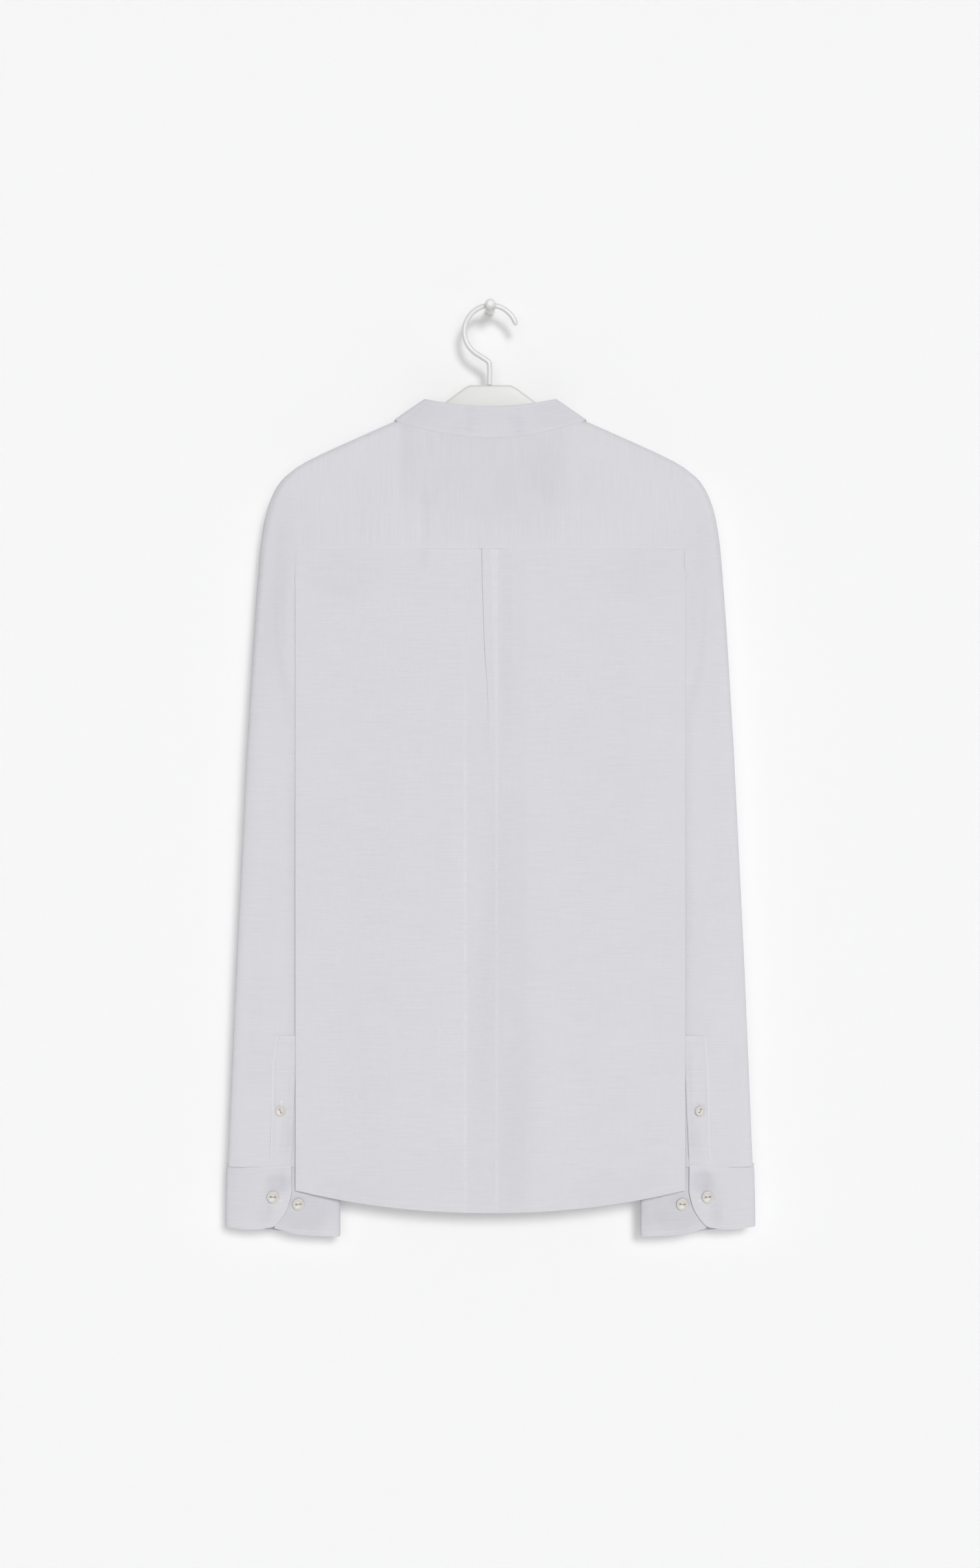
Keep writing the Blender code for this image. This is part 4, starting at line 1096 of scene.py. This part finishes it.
def makeCuff(name, hand):
    line = curveThrough(cuff["table"], 150)
    x0, depth0, low = line.T
    run = runAlong(line[:, :2])
    reach = max(row[0] for row in cuff["table"]) - cuff["midX"]
    along = np.gradient(line[:, :2], axis=0)
    normal = sideBySide(along[:, 1], -along[:, 0]) / np.linalg.norm(along, axis=-1)[:, None]
    normal *= np.sign(((line[:, :2] - [cuff["midX"], 0.0]) * normal).sum(-1))[:, None]
    points, flat = [], []
    for share in (0.0, 0.012, 0.03, *np.linspace(0.06, 0.94, cuff["rows"] - 6), 0.97, 0.988, 1.0):
        lean = cuff["lean"] * (1 - share) * (x0 - cuff["midX"]) / reach
        z = cuff["seamZ"] + (low - cuff["seamZ"]) * share
        lift = cuff["crown"] * math.sin(math.pi * share) * (1 + np.sin(run / 13 + hand))
        lift += sewnEdges(share, cuff)
        for dentX, dentZ, wide, high, size in cuff["dents"]:
            lift += np.where(run < run[-1] * 0.3, size * bell(x0 - dentX, wide) * bell(z - dentZ, high), 0.0)
        points.append(place(hand * (x0 - lean + normal[:, 0] * lift), depth0 + normal[:, 1] * lift, z, back))
        flat.append(sideBySide(hand * run, z))
    points = np.array(points)
    piece = makeCloth(name + "_band", points, flat, cuff, cuffLinen, name, flip=hand > 0)
    sew(name + "_stitches", points, hand > 0, lambda grid: grid[3], lambda grid: grid[-4])
    ends = [(hand * x, z) for x, z in cuff["buttonhole"]]
    makeButtonhole(name + "_buttonhole", back, cuff["buttonholeDepth"], *ends)


makeCuff("cuff_right", 1)
makeCuff("cuff_left", -1)
print("cuffs made")

# sleeve plackets

placket = {
    "topZ": -691.0,
    "endZ": -815.0,  # sewn in under the cuff's edge
    "left": ((-691.0, 202.4), (-716.0, 205.6), (-760.0, 206.4), (-815.0, 208.0)),  # height, x
    "right": ((-691.0, 182.4), (-760.0, 185.4), (-815.0, 188.0)),
    "rise": 1.45,
    "thickness": 1.0,
    "columns": 26,
    "rows": 80,
    "wave": 0.3,
    "edges": (0.25, 0.1, 0.06),
    "pinches": ((0.12, 0.2), (0.88, 0.3)),
    "pinchWidth": 0.035,
    "underCuff": (-803.0, 10.0, 1.5),  # where it dips under the cuff, over which height and how deep
    "crossZ": -698.8,
    "buttonhole": (197.4, -752.0, -767.5),  # x, top and bottom
    "creases": (
        (197, -766, 185, -770, 2.4, -0.6, 0),
        (199, -772, 190, -796, 4.5, -0.5, 2),
        (203, -738, 206, -760, 3.0, -0.4, 1),
        (205, -699, 183, -701, 1.3, -0.4, 0),
        (192, -706, 190, -742, 3.5, 0.4, 0),
        (206, -770, 202, -800, 3.0, 0.35, 0),
    ),
}


def makePlacket(name, hand):
    share = np.linspace(0, 1, placket["columns"])
    dipZ, dipRun, dip = placket["underCuff"]
    points, flat = [], []
    for z in np.linspace(placket["topZ"], placket["endZ"], placket["rows"]):
        low, high = readTable(placket["right"], z), readTable(placket["left"], z)
        x = low + (high - low) * share
        lift = sewnEdges(share, placket) + placket["wave"] * np.sin(z / 9.0 + hand) * np.sin(math.pi * share)
        lift += creaseLift(placket["creases"], x, z) - dip * smooth((dipZ - z) / dipRun)
        points.append(place(hand * x, sectionDepth(x, z) + placket["rise"] + lift, z, back))
        flat.append(sideBySide(high - x, z))
    points = np.array(points)
    piece = makeCloth(name + "_strip", points, flat, placket, placketLinen, name, flip=hand > 0)
    crossShare = (placket["topZ"] - placket["crossZ"]) / (placket["topZ"] - placket["endZ"])
    crossRow = (placket["rows"] - 1) * crossShare
    sew(
        name + "_stitches", points, hand > 0, lambda grid: grid[:, 3], lambda grid: grid[:, -4],
        lambda grid: alongRow(grid, crossRow)[3:-4],
    )
    x, topZ, endZ = placket["buttonhole"]
    depth = sectionDepth(x, topZ) + placket["rise"] + 0.1
    makeButtonhole(name + "_buttonhole", back, depth, (hand * x, topZ), (hand * x, endZ))


makePlacket("placket_right", 1)
makePlacket("placket_left", -1)
print("plackets made")

# buttons

button = {
    "sides": 40,
    # shares of the thickness and of the radius, from the back to the dished face
    "profile": (
        (0.0, 0.0), (0.0, 0.74), (0.06, 0.86), (0.2, 0.96), (0.42, 1.0), (0.7, 1.0), (0.86, 0.965),
        (0.97, 0.9), (1.0, 0.83), (0.96, 0.76), (0.82, 0.7), (0.72, 0.62), (0.68, 0.5), (0.67, 0.0),
    ),
    "holeApart": 0.36,  # shares of the radius
    "holeRadius": 0.165,
    "holeSides": 16,
    "threadRadius": 0.2,
    "threadSides": 6,
    "strandApart": 0.26,
    "cuffSize": (11.3, 2.4),
    "smallSize": (9.6, 2.0),
    # name, x, depth, height and turn
    "onCuff": (("outer", 205.2, 9.5, -843.6, 4), ("inner", 181.4, 7.1, -850.8, -6)),
    "onPlacket": (198.0, -762.2, 65),  # x, height and turn
    "frontCount": 7,
    "frontTopZ": -222.0,
    "frontPitch": 86.0,
    "sharpAngle": 38.0,
}


def cutHole(disc, x, radius, depth):
    drill = bmesh.new()
    bmesh.ops.create_cone(
        drill, cap_ends=True, segments=button["holeSides"], radius1=radius * mm, radius2=radius * mm,
        depth=depth * mm,
    )
    cutterMesh = bpy.data.meshes.new("drill")
    drill.to_mesh(cutterMesh)
    drill.free()
    cutter = addObject("drill", cutterMesh)
    cutter.location = (x * mm, 0, 0)
    cut = disc.modifiers.new("hole", "BOOLEAN")
    cut.operation, cut.object, cut.solver = "DIFFERENCE", cutter, "EXACT"
    bpy.context.view_layer.update()
    made = bpy.data.meshes.new_from_object(disc.evaluated_get(bpy.context.evaluated_depsgraph_get()))
    disc.modifiers.remove(cut)
    disc.data = made
    bpy.data.objects.remove(cutter)


def addStrand(bm, reach, strand, thick):
    # one strand of thread, bowed from hole to hole
    aside = Vector((0, 1, 0))
    path = []
    for t in np.linspace(0, math.pi, 9):
        y = strand * button["strandApart"] * (1 + 0.2 * math.cos(2 * t))
        path.append(Vector((-reach * math.cos(t), y, (0.55 + 0.33 * math.sin(t) ** 0.6) * thick)) * mm)
    rings = []
    for k, point in enumerate(path):
        run = path[min(k + 1, len(path) - 1)] - path[max(k - 1, 0)]
        side = run.normalized().cross(aside).normalized()
        rings.append([
            bm.verts.new(point + (side * math.cos(a) + aside * math.sin(a)) * button["threadRadius"] * mm)
            for a in turns(button["threadSides"])
        ])
    joinRings(bm, rings, 1)
    for ring in (rings[0], rings[-1][::-1]):
        bm.faces.new(ring).material_index = 1


def makeButtonMesh(name, size):
    # turned round Z with two holes cut through, lying on its back, and two strands of thread
    radius, thick = size[0] / 2, size[1]
    bm = bmesh.new()
    rings = []
    for up, out in button["profile"]:
        spots = [(math.cos(a) * out * radius, math.sin(a) * out * radius) for a in turns(button["sides"])]
        rings.append([bm.verts.new(Vector((x, y, up * thick)) * mm) for x, y in (spots if out else [(0, 0)])])
    joinRings(bm, rings)
    disc = addObject(name + "_cut", finishMesh(bm, name))
    for side in (-1, 1):
        cutHole(disc, side * button["holeApart"] * radius, button["holeRadius"] * radius, 4 * thick)
    bm = bmesh.new()
    bm.from_mesh(disc.data)
    bpy.data.objects.remove(disc)
    for strand in (-1, 1):
        addStrand(bm, button["holeApart"] * radius, strand, thick)
    result = finishMesh(bm, name, button["sharpAngle"])
    result.materials.append(ivory)
    result.materials.append(buttonThread)
    return result


buttonMeshes = {
    "cuffSize": makeButtonMesh("buttonMesh", button["cuffSize"]),
    "smallSize": makeButtonMesh("smallButtonMesh", button["smallSize"]),
}


def makeButton(name, kind, x, depth, z, side, turn=0.0, lean=0.0):
    piece = addObject(name + "_sewn", buttonMeshes[kind].copy())
    faceOut = Matrix.Rotation(math.radians(90 if side == back else -90) + lean, 4, "X")
    spin = Matrix.Rotation(math.radians(turn), 4, "Z")
    where = Matrix.Translation(Vector((x, hang["middleY"] + side * depth, z)) * mm)
    piece.matrix_world = where @ faceOut @ spin
    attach(piece, "root")
    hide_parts(name)


def makeButtons():
    for sideName, hand in (("right", 1), ("left", -1)):
        for at, x, depth, z, turn in button["onCuff"]:
            makeButton(f"cuff_button_{sideName}_{at}", "cuffSize", hand * x, depth, z, back, hand * turn)
        x, z, turn = button["onPlacket"]
        depth = sectionDepth(x, z) + placket["rise"] + 0.3
        makeButton(f"placket_button_{sideName}", "smallSize", hand * x, depth, z, back, hand * turn)
    lap = (frontPanel["wall"] + frontPanel["layerGap"]) / 2
    for k in range(button["frontCount"]):
        z = button["frontTopZ"] - button["frontPitch"] * k
        depth = halfDepth(0, z) + lap + 0.3
        makeButton(f"front_button_{k + 1}", "cuffSize", 0.0, depth, z, front, 90)
        makeButtonhole(f"front_buttonhole_{k + 1}", front, depth - 0.25, (0.0, z + 8.0), (0.0, z - 8.0))
    lowZ, highZ = hang["neckTopZ"] - hang["neckFrontDrop"], collar["peakZ"] - collar["frontDrop"]
    low = halfDepth(0, lowZ)
    lean = math.atan((collar["topDepth"] - low) / (highZ - lowZ))
    depth = (low + collar["topDepth"]) / 2 + (collar["wall"] + collar["layerGap"]) / 2 + 0.5
    makeButton("collar_button", "smallSize", 0.0, depth, (lowZ + highZ) / 2, front, 0, -lean)


makeButtons()
print("buttons made")

# hanger, hook and peg

hangerShape = {
    "top": (
        (0.0, -75.7), (19.5, -75.7), (24.5, -78.2), (42.0, -91.2), (58.0, -103.5), (74.0, -112.5),
        (91.0, -118.0), (108.0, -121.4), (125.0, -127.8), (158.0, -142.4), (174.0, -150.6), (185.0, -159.2),
        (189.5, -165.5), (190.0, -171.0),
    ),
    "bottom": (
        (188.0, -176.0), (176.0, -171.0), (125.0, -146.0), (70.0, -124.0), (36.0, -117.0), (0.0, -115.0),
    ),
    "thickness": 8.0,
    "round": 2.6,
    "sharpAngle": 35.0,
}

hook = {
    "diameter": 5.0,
    "radius": 24.9,
    "centre": (0.3, -24.7),
    "endAngle": 14.0,
    "span": 221.0,
    "bend": ((-7.6, -49.2), (-2.6, -52.6), (-0.7, -57.0), (-0.7, -75.4)),  # then straight down the stem
}

peg = {
    # distance from the wall, radius, height of the middle
    "profile": (
        (0.0, 4.3, 0.0), (19.5, 4.3, -1.2), (21.5, 3.4, -2.6), (23.0, 1.7, -4.4), (31.2, 1.7, -4.4),
        (31.9, 2.8, -3.2), (33.0, 4.0, -1.2), (34.6, 4.8, 0.0), (36.2, 5.0, 0.0), (37.8, 4.7, 0.0),
        (39.4, 3.8, 0.0), (40.6, 2.3, 0.0),
    ),
    "sides": 48,
    "steps": 4,  # from one row to the next
    "sharpAngle": 35.0,
}


def makeHanger():
    right = [*hangerShape["top"], *hangerShape["bottom"]]
    outline = right + [(-x, z) for x, z in reversed(right) if x > 0]
    bm = bmesh.new()
    rings = []
    for side in (back, front):
        y = hang["middleY"] + side * hangerShape["thickness"] / 2
        rings.append([bm.verts.new(Vector((x, y, z)) * mm) for x, z in outline])
    joinRings(bm, rings)
    bm.faces.new(rings[0])
    bm.faces.new(rings[1][::-1])
    bmesh.ops.recalc_face_normals(bm, faces=bm.faces)
    rims = [e for e in bm.edges if abs(e.verts[0].co.y - e.verts[1].co.y) < mm]
    bmesh.ops.bevel(bm, geom=rims, offset=hangerShape["round"] * mm, segments=5, profile=0.5, affect="EDGES")
    mesh = finishMesh(bm, "hanger_body", hangerShape["sharpAngle"])
    dress(addObject("hanger_body", mesh), hangerWhite, ["hanger"])


def makeHook():
    angles = np.radians(hook["endAngle"] + np.linspace(0, hook["span"], 70))
    centreX, centreZ = hook["centre"]
    route = [(centreX + hook["radius"] * math.cos(a), centreZ + hook["radius"] * math.sin(a)) for a in angles]
    route[-1:] = curveThrough([route[-1], *hook["bend"]], 30)
    curve = bpy.data.curves.new("hook_wire", "CURVE")
    curve.dimensions = "3D"
    curve.bevel_depth = hook["diameter"] / 2 * mm
    curve.bevel_resolution = 6
    curve.use_fill_caps = True
    line = curve.splines.new("POLY")
    line.points.add(len(route) - 1)
    for k, (point, (x, z)) in enumerate(zip(line.points, route)):
        point.co = (x * mm, hang["middleY"] * mm, z * mm, 1.0)
        point.radius = min(1.0, 0.55 + 0.3 * k)  # the open end is rounded
    dress(addObject("hook_wire", curve), hookWhite, ["hanger_hook"])


def makePeg():
    rows = np.array(peg["profile"])
    at = np.linspace(0, len(rows) - 1, (len(rows) - 1) * peg["steps"] + 1)
    bm = bmesh.new()
    rings = []
    for y, r, z in readLine(rows, np.arange(len(rows)), at):
        spots = [Vector((r * math.cos(a), -y, z + r * math.sin(a))) for a in turns(peg["sides"])]
        rings.append([bm.verts.new(spot * mm) for spot in spots])
    joinRings(bm, rings)
    bm.faces.new(rings[0])
    bm.faces.new(rings[-1][::-1])
    mesh = finishMesh(bm, "peg_body", peg["sharpAngle"])
    dress(addObject("peg_body", mesh), pegWhite, ["wall_peg"])


makeHanger()
makeHook()
makePeg()
print("hanger, hook and peg made")

# studio

studio = {
    "camera": (-0.0003, -2.6, -0.4536),
    "lens": 62.31,
    "wallSize": 12.0,
    "wallY": 0.0006,
    "floorZ": -2.2,
    "paint": 0.93,
    "worldColour": (0.995, 0.997, 1.0, 1.0),
    "worldStrength": 0.24,
    # where the light comes from, its strength and how wide it looks in degrees
    "lamps": {
        "key": ((0.22, -1.0, 0.33), 1.11, 15.0),
        "fill": ((0.06, -1.0, 0.1), 1.04, 50.0),
        "rear": ((0.1, 1.0, 0.2), 0.5, 30.0),  # through the wall, onto the side that faces it
    },
    # a soft box behind the wall, for the middle of that side
    "rearBox": {"size": (0.26, 0.5), "place": (0.0, 0.42, -0.5), "power": 0.19, "spread": 80.0},
}


def makeStage():
    plain, tree, shader = newFinish("paleStage")
    paint = (studio["paint"], studio["paint"], studio["paint"], 1.0)
    setInputs(tree, shader, {"Base Color": paint, "Roughness": 0.95, "Specular IOR Level": 0.1})
    wallPaint = plain.copy()
    wallPaint.name = "oneSidedWall"
    tree = wallPaint.node_tree
    # seen from the rear the wall isn't there, and it stops no lamp
    rear = addNode(tree, "ShaderNodeNewGeometry", {}).outputs["Backfacing"]
    shadow = addNode(tree, "ShaderNodeLightPath", {}).outputs["Is Shadow Ray"]
    seen = addMath(tree, "MAXIMUM", rear, shadow)
    clear = addNode(tree, "ShaderNodeBsdfTransparent", {}).outputs[0]
    solid = tree.nodes["Principled BSDF"].outputs[0]
    both = addNode(tree, "ShaderNodeMixShader", {0: seen, 1: solid, 2: clear})
    setInputs(tree, tree.nodes["Material Output"], {"Surface": both.outputs[0]})
    half, wallY, floorZ = studio["wallSize"] / 2, studio["wallY"], studio["floorZ"]
    foot = [(-half, wallY, floorZ), (half, wallY, floorZ)]
    wall = foot + [(half, wallY, half), (-half, wallY, half)]
    floor = [(-half, -half - 1, floorZ), (half, -half - 1, floorZ)] + foot[::-1]
    for name, finish, corners in (("stage_wall", wallPaint, wall), ("stage_floor", plain, floor)):
        mesh = bpy.data.meshes.new(name)
        mesh.from_pydata(corners, [], [(0, 1, 2, 3)])
        mesh.materials.append(finish)
        sheet = addObject(name, mesh)


def addLamp(name, comesFrom, strength, width):
    lamp = bpy.data.lights.new(name, "SUN")
    lamp.energy, lamp.angle = strength, math.radians(width)
    addObject(name, lamp).rotation_euler = (-Vector(comesFrom)).to_track_quat("-Z", "Y").to_euler()


def addRearBox():
    box = studio["rearBox"]
    lamp = bpy.data.lights.new("rearBox", "AREA")
    lamp.shape, lamp.energy, lamp.spread = "RECTANGLE", box["power"], math.radians(box["spread"])
    lamp.size, lamp.size_y = box["size"]
    made = addObject("rearBox", lamp)
    made.location, made.rotation_euler = box["place"], (-math.pi / 2, 0, 0)
    made.visible_camera = False


def makeStudio():
    makeStage()
    addRearBox()
    for name, lamp in studio["lamps"].items():
        addLamp(name, *lamp)
    world = bpy.data.worlds.new("paleStudio")
    world.use_nodes = True
    background = {0: studio["worldColour"], 1: studio["worldStrength"]}
    setInputs(world.node_tree, world.node_tree.nodes["Background"], background)
    scene = bpy.context.scene
    scene.world = world
    scene.view_settings.view_transform = "Standard"
    lens = bpy.data.cameras.new("view")
    lens.lens, lens.sensor_width, lens.sensor_fit = studio["lens"], 36.0, "AUTO"
    camera = addObject("view", lens)
    camera.location, camera.rotation_euler = studio["camera"], (math.pi / 2, 0, 0)
    scene.camera = camera


makeStudio()
print("studio made")
